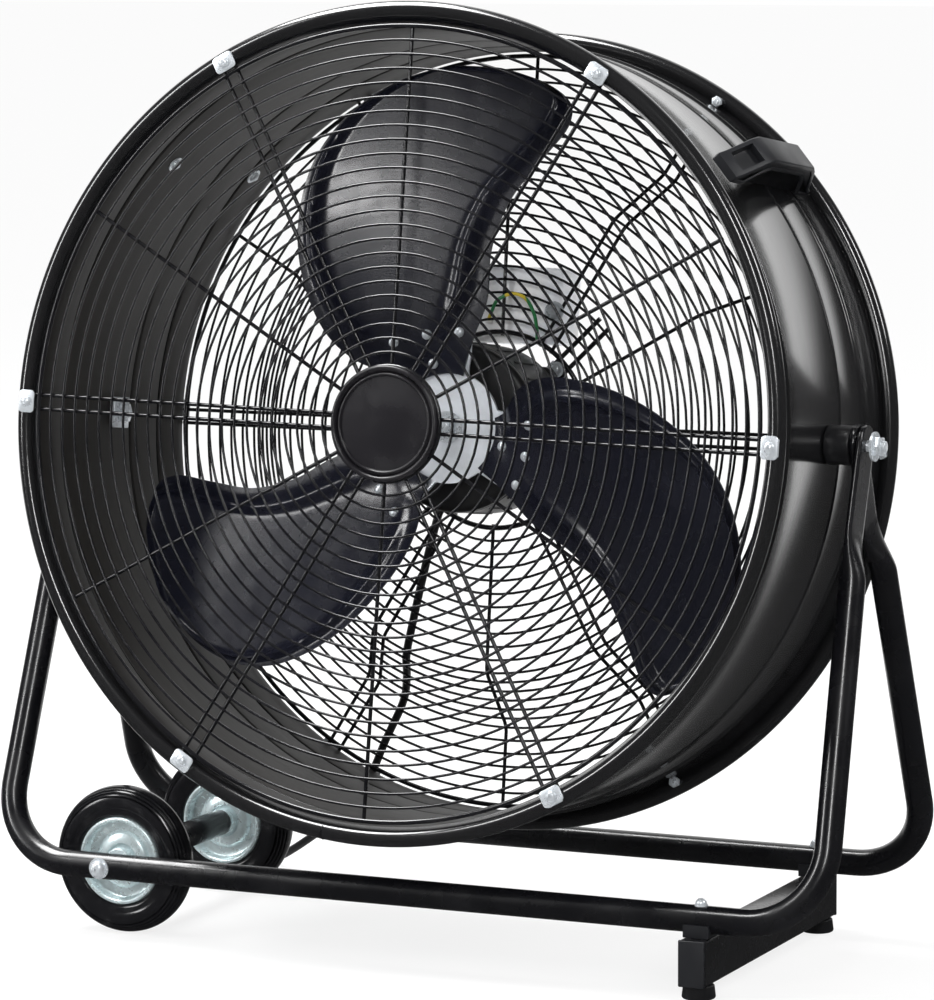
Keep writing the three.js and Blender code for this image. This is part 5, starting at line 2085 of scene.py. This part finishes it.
@dataclass
class Handles:
    """The two carry handles with their sloping ends and pockets.

    Attributes:
        angle: where they sit round the drum, in radians.
        front: the front foot's end, ahead of the pivot.
        rear: the rear foot's end.
        grip_front: the grip's front end.
        grip_rear: the grip's rear end.
    """

    finishes: Finishes
    angle: float = math.radians(40.5)
    width: float = 26.0
    reach: float = 357.5
    thick: float = 12.0
    front: float = 72.0
    rear: float = -96.0
    grip_front: float = 38.0
    grip_rear: float = -57.0

    def build(self) -> None:
        """Makes both handles and the bolts that show inside the drum."""
        fitter = Fitter(Place.DRUM, Body.DRUM)
        for word, mirror in (("right", 1), ("left", -1)):
            side = Matrix.Scale(mirror, 4, Vector((1, 0, 0)))
            turn = side @ about_axis(self.angle)
            fitter.fit(f"handle_body_{word}", moved(self._body(), turn), self.finishes.plastic, Slot.PLASTIC,
                       [f"handle_{word}"], 30)
            fitter.fit(f"handle_bolts_{word}", moved(self._bolts(), turn), self.finishes.zinc, Slot.ZINC)

    def _body(self) -> Mesh:
        """A bridge bent from the drum and back, with rounded edges and a pocket in each slope.

        Returns:
            The mesh.
        """
        low = DRUM_RADIUS + 3.4
        reach, thick = self.reach, self.thick
        outer = [(self.rear, low), (self.rear, low + 7), (self.rear + 9, low + 10),
                 (self.grip_rear - 5, reach - 4), (self.grip_rear + 5, reach), (self.grip_front - 5, reach),
                 (self.grip_front + 4, reach - 4), (self.front - 8, low + 11), (self.front, low + 7),
                 (self.front, low)]
        inner = [(self.front - 24, low), (self.grip_front - 5, reach - thick - 5),
                 (self.grip_front - 14, reach - thick), (self.grip_rear + 14, reach - thick),
                 (self.grip_rear + 5, reach - thick - 5), (self.rear + 24, low)]
        outline = [(radius, -ahead, -self.width / 2) for ahead, radius in [*outer, *inner]]
        mesh = plate(outline, Vector((0, 0, self.width)), 1.8, 3)
        self._press_slopes(mesh)
        self._press_side(mesh)
        return mesh

    @staticmethod
    def _press_slopes(mesh: Mesh) -> None:
        """Sinks a pocket with a thin rim into each sloping end.

        Args:
            mesh: the handle's body.
        """
        slopes = [f for f in mesh.faces if f.normal.x > 0.3 and abs(f.normal.y) > 0.3 and f.calc_area() > 300]
        for face in slopes:
            bmesh.ops.inset_region(mesh, faces=[face], thickness=2.4, depth=0.0, use_even_offset=True)
            bmesh.ops.inset_region(mesh, faces=[face], thickness=0.8, depth=-6.5, use_even_offset=True)

    @staticmethod
    def _press_side(mesh: Mesh) -> None:
        """Sinks the two side faces slightly, so that a rim runs round them.

        Args:
            mesh: the handle's body.
        """
        sides = [f for f in mesh.faces if abs(f.normal.z) > 0.99 and f.calc_area() > 800]
        for face in sides:
            bmesh.ops.inset_region(mesh, faces=[face], thickness=2.0, depth=0.0, use_even_offset=True)
            bmesh.ops.inset_region(mesh, faces=[face], thickness=0.6, depth=-1.2, use_even_offset=True)

    def _bolts(self) -> Mesh:
        """A dome nut inside the drum under each foot.

        Returns:
            The mesh.
        """
        parts = []
        for ahead in (self.front - 12, self.rear + 12):
            seat = Vector((DRUM_RADIUS - DRUM_WALL, -ahead, 0))
            parts.append(dome_screw(seat, Vector((-1, 0, 0)), 4.6, 3.0, 7.0))
        return gathered(parts)


@dataclass
class Pivots:
    """The bolt, spacer and nut at each side of the drum."""

    finishes: Finishes

    def build(self) -> None:
        """Makes both pivots."""
        fitter = Fitter(Place.DRUM, Body.DRUM)
        for word, mirror in (("right", 1), ("left", -1)):
            side = Matrix.Scale(mirror, 4, Vector((1, 0, 0)))
            fitter.fit(f"spacer_{word}", moved(self._spacer(), side), self.finishes.foot, Slot.FOOT,
                       [f"pivot_spacer_{word}"])
            fitter.fit(f"bolt_{word}", moved(self._bolt(), side), self.finishes.zinc, Slot.ZINC,
                       [f"pivot_bolt_{word}"])
            fitter.fit(f"nut_{word}", moved(self._nut(), side), self.finishes.zinc, Slot.ZINC,
                       [f"pivot_nut_{word}"])

    @staticmethod
    def _spacer() -> Mesh:
        """A rubber bush with a waist and soft ends, along X.

        Returns:
            The mesh.
        """
        start = DRUM_RADIUS + 0.6
        profile = [(5.6, 0.0), (14.6, 0.0), *arc((14.6, 1.4), 1.4, -60, 0, 3), (16.0, 6.0), (15.6, 10.7),
                   (16.0, 15.4), *arc((14.6, 20.0), 1.4, 0, 90, 4), (5.6, 21.4)]
        mesh = turned([(radius, -along) for radius, along in profile], 64)
        return moved(mesh, Matrix.Translation((start, 0, 0)) @ Matrix.Rotation(-math.pi / 2, 4, "Z"))

    @staticmethod
    def _bolt() -> Mesh:
        """The square plate and head inside the drum, and the shank that passes through.

        Returns:
            The mesh.
        """
        inside = DRUM_RADIUS - DRUM_WALL
        washer = slab((2.6, 26, 26), (inside - 4.2, 0, 0), 0.8)
        head = hex_nut(Vector((inside - 5.5, 0, 0)), Vector((-1, 0, 0)), 17.5, 6.0)
        shank = rod((inside - 6, 0, 0), (370.6, 0, 0), 4.8, 24)
        tip = [e for e in shank.edges if min(e.verts[0].co.x, e.verts[1].co.x) > 370]
        return gathered([washer, head, rounded(shank, tip, 1.2, 3)])

    @staticmethod
    def _nut() -> Mesh:
        """A washer and a nut outside the frame.

        Returns:
            The mesh.
        """
        washer = moved(turned([(5.2, 0.0), (11.8, 0.0), (11.8, 2.0), (5.2, 2.0)], 48),
                       Matrix.Translation((359.9, 0, 0)) @ Matrix.Rotation(math.pi / 2, 4, "Z"))
        nut = hex_nut(Vector((359.9, 0, 0)), Vector((1, 0, 0)), 17.2, 7.6)
        return gathered([washer, nut])


# ------------------------------------------------------------------ stand


@dataclass
class StandFrames:
    """The two bent tubes with their flattened ends."""

    finishes: Finishes
    tube: float = 11.0
    plate_thick: float = 5.0
    plate_half: float = 16.6
    plate_length: float = 84.0
    leg_top: float = 352.0
    leg_foot: float = 363.0
    bend: float = 62.0
    rear_plate: float = 347.2
    sides: int = 32

    def build(self) -> None:
        """Makes the front and the rear frame."""
        fitter = Fitter(Place.STAND, Body.STAND)
        front_plate = self.rear_plate + self.plate_thick + 0.3
        for word, sign, plate_x in (("front", -1, front_plate), ("rear", 1, self.rear_plate)):
            mesh = self._frame(sign, plate_x)
            fitter.fit(f"frame_tube_{word}", mesh, self.finishes.frame, Slot.FRAME, [f"frame_{word}"], 60)

    def _frame(self, sign: int, plate_x: float) -> Mesh:
        """One frame: rings from the left plate, down, along the rail and up to the right plate.

        Args:
            sign: -1 for the front frame, 1 for the rear one.
            plate_x: how far out its plates stand.

        Returns:
            The mesh.
        """
        drop = PIVOT_HEIGHT - RAIL_HEIGHT
        reach = math.hypot(drop, RAIL_DEPTH)
        half = [*self._flat_rings(plate_x), *self._round_rings(plate_x, reach)]
        mirrored = [[Vector((-p.x, p.y, p.z)) for p in ring] for ring in half]
        mesh = skinned([*half, *reversed(mirrored)])
        lean = math.atan2(RAIL_DEPTH, drop) * sign
        return moved(mesh, Matrix.Translation((0, 0, PIVOT_HEIGHT)) @ Matrix.Rotation(lean, 4, "X"))

    def _flat_rings(self, plate_x: float) -> list[list[Vector]]:
        """The pressed end: a rounded top, then a plate of even width.

        Args:
            plate_x: how far out the plate stands.

        Returns:
            The rings of points, in order.
        """
        rings = []
        top = 17.0
        for angle in (8, 25, 45, 65, 90):
            share = math.sin(math.radians(angle))
            down = -top * math.cos(math.radians(angle))
            rings.append(self._ring(plate_x, down, 1.0, share, 0.0))
        for down in (20, 40, self.plate_length - 16):
            rings.append(self._ring(plate_x, down, 1.0, 1.0, 0.0))
        return rings

    def _round_rings(self, plate_x: float, reach: float) -> list[list[Vector]]:
        """The throat where the tube opens out, the leg, the bend and half of the rail.

        Args:
            plate_x: how far out the plate stands.
            reach: the way from the pivot down to the rail.

        Returns:
            The rings of points, in order.
        """
        rings = []
        straight = reach - self.bend
        start, throat = self.plate_length - 16, 44.0
        for i in range(1, 11):
            share = i / 10
            ease = eased(share)
            down = start + throat * share
            across = plate_x + (self._leg_x(down, straight) - plate_x) * ease
            rings.append(self._ring(across, down, 1 - ease, 1.0, 0.0))
        for i in range(1, 5):
            down = start + throat + (straight - start - throat) * i / 4
            rings.append(self._ring(self._leg_x(down, straight), down, 0.0, 1.0, 0.0))
        for i in range(1, 17):
            angle = math.radians(90 * i / 16)
            across = self.leg_foot - self.bend + self.bend * math.cos(angle)
            rings.append(self._ring(across, straight + self.bend * math.sin(angle), 0.0, 1.0, angle))
        rings.append(self._ring(0.3 * self.leg_foot, reach, 0.0, 1.0, math.pi / 2))
        return rings

    def _leg_x(self, down: float, straight: float) -> float:
        """How far out the leg stands, at a distance down from the pivot."""
        return self.leg_top + (self.leg_foot - self.leg_top) * min(down / straight, 1.0)

    def _ring(self, x: float, down: float, flat: float, width: float, turn: float) -> list[Vector]:
        """One section of the tube.

        Args:
            x: its middle, across.
            down: its distance down from the pivot.
            flat: 1 for the pressed plate and 0 for the round tube.
            width: the share of the plate's width, for its rounded top.
            turn: how far the tube has bent towards the rail, in radians.

        Returns:
            The section's points.
        """
        points = []
        for i in range(self.sides):
            angle = TURN * (i + 0.5) / self.sides
            corner = math.cos(angle)
            out_round = corner * self.tube
            out_flat = max(-1.0, min(1.0, corner * 2.2)) * self.plate_thick / 2
            side_round = math.sin(angle) * self.tube
            side_flat = math.sin(angle) * self.plate_half * width
            out = out_round + (out_flat - out_round) * flat
            side = side_round + (side_flat - side_round) * flat
            points.append(Vector((x + out * math.cos(turn), side, -down - out * math.sin(turn))))
        return points


@dataclass
class FootBar:
    """The bar under the rails with its caps, saddles, bolts and feet."""

    finishes: Finishes
    width: float = 22.0
    low: float = 11.3
    high: float = 48.7
    half: float = 148.0
    foot_y: float = 134.0

    def build(self) -> None:
        """Makes the bar and what is on it."""
        fitter = Fitter(Place.STAND, Body.STAND)
        fitter.fit("bar_tube", self._tube(), self.finishes.frame, Slot.FRAME, ["foot_bar"])
        for word, sign in (("front", -1), ("rear", 1)):
            fitter.fit(f"bar_end_{word}", self._cap(sign), self.finishes.plastic, Slot.PLASTIC,
                       [f"bar_cap_{word}"])
            fitter.fit(f"saddle_{word}", self._saddle(sign), self.finishes.plastic, Slot.PLASTIC,
                       [f"rail_saddle_{word}"])
            fitter.fit(f"foot_{word}", self._foot(sign), self.finishes.foot, Slot.FOOT,
                       [f"rubber_foot_{word}"])
            fitter.fit(f"rail_bolt_{word}", self._bolt(sign), self.finishes.zinc, Slot.ZINC)

    def _tube(self) -> Mesh:
        """A rectangular tube with rounded corners.

        Returns:
            The mesh.
        """
        outline = rounded_outline(self.width / 2, self.low, self.high, 2.5, 4)
        inner = rounded_outline(self.width / 2 - 1.8, self.low + 1.8, self.high - 1.8, 1.2, 4)
        rings = [[Vector((BAR_X + x, y, z)) for x, z in ring]
                 for ring, y in ((inner, -self.half + 30), (inner, -self.half), (outline, -self.half),
                                 (outline, self.half), (inner, self.half), (inner, self.half - 30))]
        return skinned(rings)

    def _cap(self, sign: int) -> Mesh:
        """An end cap with a soft edge.

        Args:
            sign: -1 for the front end, 1 for the rear one.

        Returns:
            The mesh.
        """
        middle = (self.low + self.high) / 2
        face = slab((self.width, 2.8, self.high - self.low), (BAR_X, sign * (self.half + 1.8), middle), 1.0)
        plug = slab((self.width - 4.4, 13, self.high - self.low - 4.4),
                    (BAR_X, sign * (self.half - 6), middle), 0.6)
        return gathered([face, plug])

    def _saddle(self, sign: int) -> Mesh:
        """A block hollowed to the rail's round underside.

        Args:
            sign: -1 for the front end, 1 for the rear one.

        Returns:
            The mesh.
        """
        base, top = self.high + 0.3, self.high + 11.8
        hollow = [(x, RAIL_HEIGHT + z) for x, z in arc((0, 0), 11.35, 245, 295, 10)]
        half = 12.5
        outline = [(-half, base), (half, base), (half, top - 1.5), (hollow[-1][0] + 3, top - 1.0),
                   *reversed(hollow), (hollow[0][0] - 3, top - 1.0), (-half, top - 1.5)]
        half_length = self.width / 2
        points = [(BAR_X - half_length, sign * RAIL_DEPTH + y, z) for y, z in outline]
        return plate(points, Vector((2 * half_length, 0, 0)), 0.8)

    def _foot(self, sign: int) -> Mesh:
        """A round rubber foot with a rounded edge, standing on the floor.

        Args:
            sign: -1 for the front end, 1 for the rear one.

        Returns:
            The mesh.
        """
        profile = [(0.0, 0.0), (11.0, 0.0), *arc((11.5, 2.0), 2.0, -90, 0, 5), (12.6, 9.4),
                   *arc((11.6, 10.0), 1.0, 0, 90, 3), (0.0, 11.0)]
        mesh = turned([(radius, -up) for radius, up in profile], 48, closed=False)
        return moved(mesh, Matrix.Translation((BAR_X, sign * self.foot_y, 0))
                     @ Matrix.Rotation(math.pi / 2, 4, "X"))

    @staticmethod
    def _bolt(sign: int) -> Mesh:
        """The round-head bolt on top of the rail, over the bar."""
        return dome_screw(Vector((BAR_X, sign * RAIL_DEPTH, RAIL_HEIGHT + 10.6)), Vector((0, 0, 1)), 4.6,
                          4.6, 5.4)


@dataclass
class Wheels:
    """The axle, its sleeve, and the two wheels."""

    finishes: Finishes
    radius: float = 62.0
    half_width: float = 14.0
    lip: float = 37.0

    def build(self) -> None:
        """Makes both wheels and what they turn on."""
        for word, sign, body in (("front", -1, Body.WHEEL_FRONT), ("rear", 1, Body.WHEEL_REAR)):
            fitter = Fitter(Place.STAND, body)
            place = Matrix.Translation((WHEEL_X, sign * WHEEL_DEPTH, self.radius))
            fitter.fit(f"tyre_body_{word}", moved(self._tyre(), place), self.finishes.tyre, Slot.TYRE,
                       [f"tyre_{word}"], 60)
            fitter.fit(f"rim_dish_{word}", moved(self._rim(), place), self.finishes.wheel, Slot.ZINC,
                       [f"wheel_rim_{word}"], 50)
        fitter = Fitter(Place.STAND, Body.STAND)
        fitter.fit("axle_bar", self._axle(), self.finishes.zinc, Slot.ZINC, ["axle_rod"])
        fitter.fit("axle_tube", self._sleeve(), self.finishes.frame, Slot.FRAME, ["axle_sleeve"])

    def _tyre(self) -> Mesh:
        """A round-shouldered solid tyre with three grooves near each edge of its tread.

        Returns:
            The mesh.
        """
        profile = []
        for i in range(181):
            angle = math.radians(-112 + 224 * i / 180)
            bulge = 13.0 - self._groove(math.degrees(angle))
            profile.append((49 + bulge * math.cos(angle), (bulge + 1) * math.sin(angle)))
        flank = [(41.0, 12.9), (38.4, 12.2), (37.3, 10.6)]
        other = [(radius, -ahead) for radius, ahead in reversed(flank)]
        return turned([*profile, *flank, *other], 128)

    @staticmethod
    def _groove(degrees: float) -> float:
        """How deep the tread is cut at an angle round the tyre's section.

        Args:
            degrees: an angle round the tyre's section.

        Returns:
            The depth.
        """
        depth = 0.0
        for centre in (24.0, 38.0, 52.0, 66.0):
            share = abs(abs(degrees) - centre) / 3.6
            depth += 1.9 * max(0.0, 1 - share * share)
        return depth

    def _rim(self) -> Mesh:
        """A pressed dish on each side: rolled lip, sunk web, raised hub.

        Returns:
            The mesh.
        """
        half, lip = self.half_width, self.lip
        bore = 6.4
        side = [(bore, half + 1.0), (9.6, half + 1.0), *arc((9.6, half - 0.4), 1.4, 90, 10, 4),
                (11.2, half - 7.0), (13.0, half - 8.6), (14.2, half - 6.4), (21.5, half - 7.0),
                (23.0, half - 8.6), (24.2, half - 10.4), (31.0, half - 10.8), (32.4, half - 9.8),
                (33.0, half - 2.6), *arc((34.9, half - 2.6), 1.9, 170, 10, 8), (36.9, half - 5.0),
                (lip, half - 6.0)]
        other = [(radius, -ahead) for radius, ahead in reversed(side)]
        return turned([*side, *other], 96)

    def _axle(self) -> Mesh:
        """The axle rod with a domed bolt head and washer at each end.

        Returns:
            The mesh.
        """
        parts = [rod((WHEEL_X, -141, RAIL_HEIGHT), (WHEEL_X, 141, RAIL_HEIGHT), 5.8, 32)]
        for sign in (-1, 1):
            seat = Vector((WHEEL_X, sign * (RAIL_DEPTH + 10.8), RAIL_HEIGHT))
            parts.append(dome_screw(seat, Vector((0, sign, 0)), 7.0, 5.6, 8.8))
        return gathered(parts)

    def _sleeve(self) -> Mesh:
        """The black spacer tube between the wheels.

        Returns:
            The mesh.
        """
        end = WHEEL_DEPTH - self.half_width - 1.3
        return moved(turned([(6.6, -end), (11.2, -end), (11.2, end), (6.6, end)], 48),
                     Matrix.Translation((WHEEL_X, 0, RAIL_HEIGHT)))


def repaint(node: str, material: Material) -> None:
    """Gives one of the model's own nodes a finer finish.

    Args:
        node: the node's name.
        material: its finish.
    """
    data = frame["nodes"][node].data
    data.materials.clear()
    data.materials.append(material)


def main() -> None:
    """Builds the camera, the cord, the studio and every sub-assembly, in order."""
    logging.basicConfig(level=logging.INFO, format="%(name)s %(message)s")
    Viewpoint().build()
    finishes = Finishes()
    MainsCord(finishes).build()
    HeldLead(finishes).build()
    Studio().build()
    for assembly in (DrumShell, WireGuards, GuardFittings, Rotor, Motor, ControlBox, Handles, Pivots,
                     StandFrames, FootBar, Wheels):
        LOG.info("building %s", assembly.__name__)
        assembly(finishes).build()


if __name__ == "__main__":
    main()
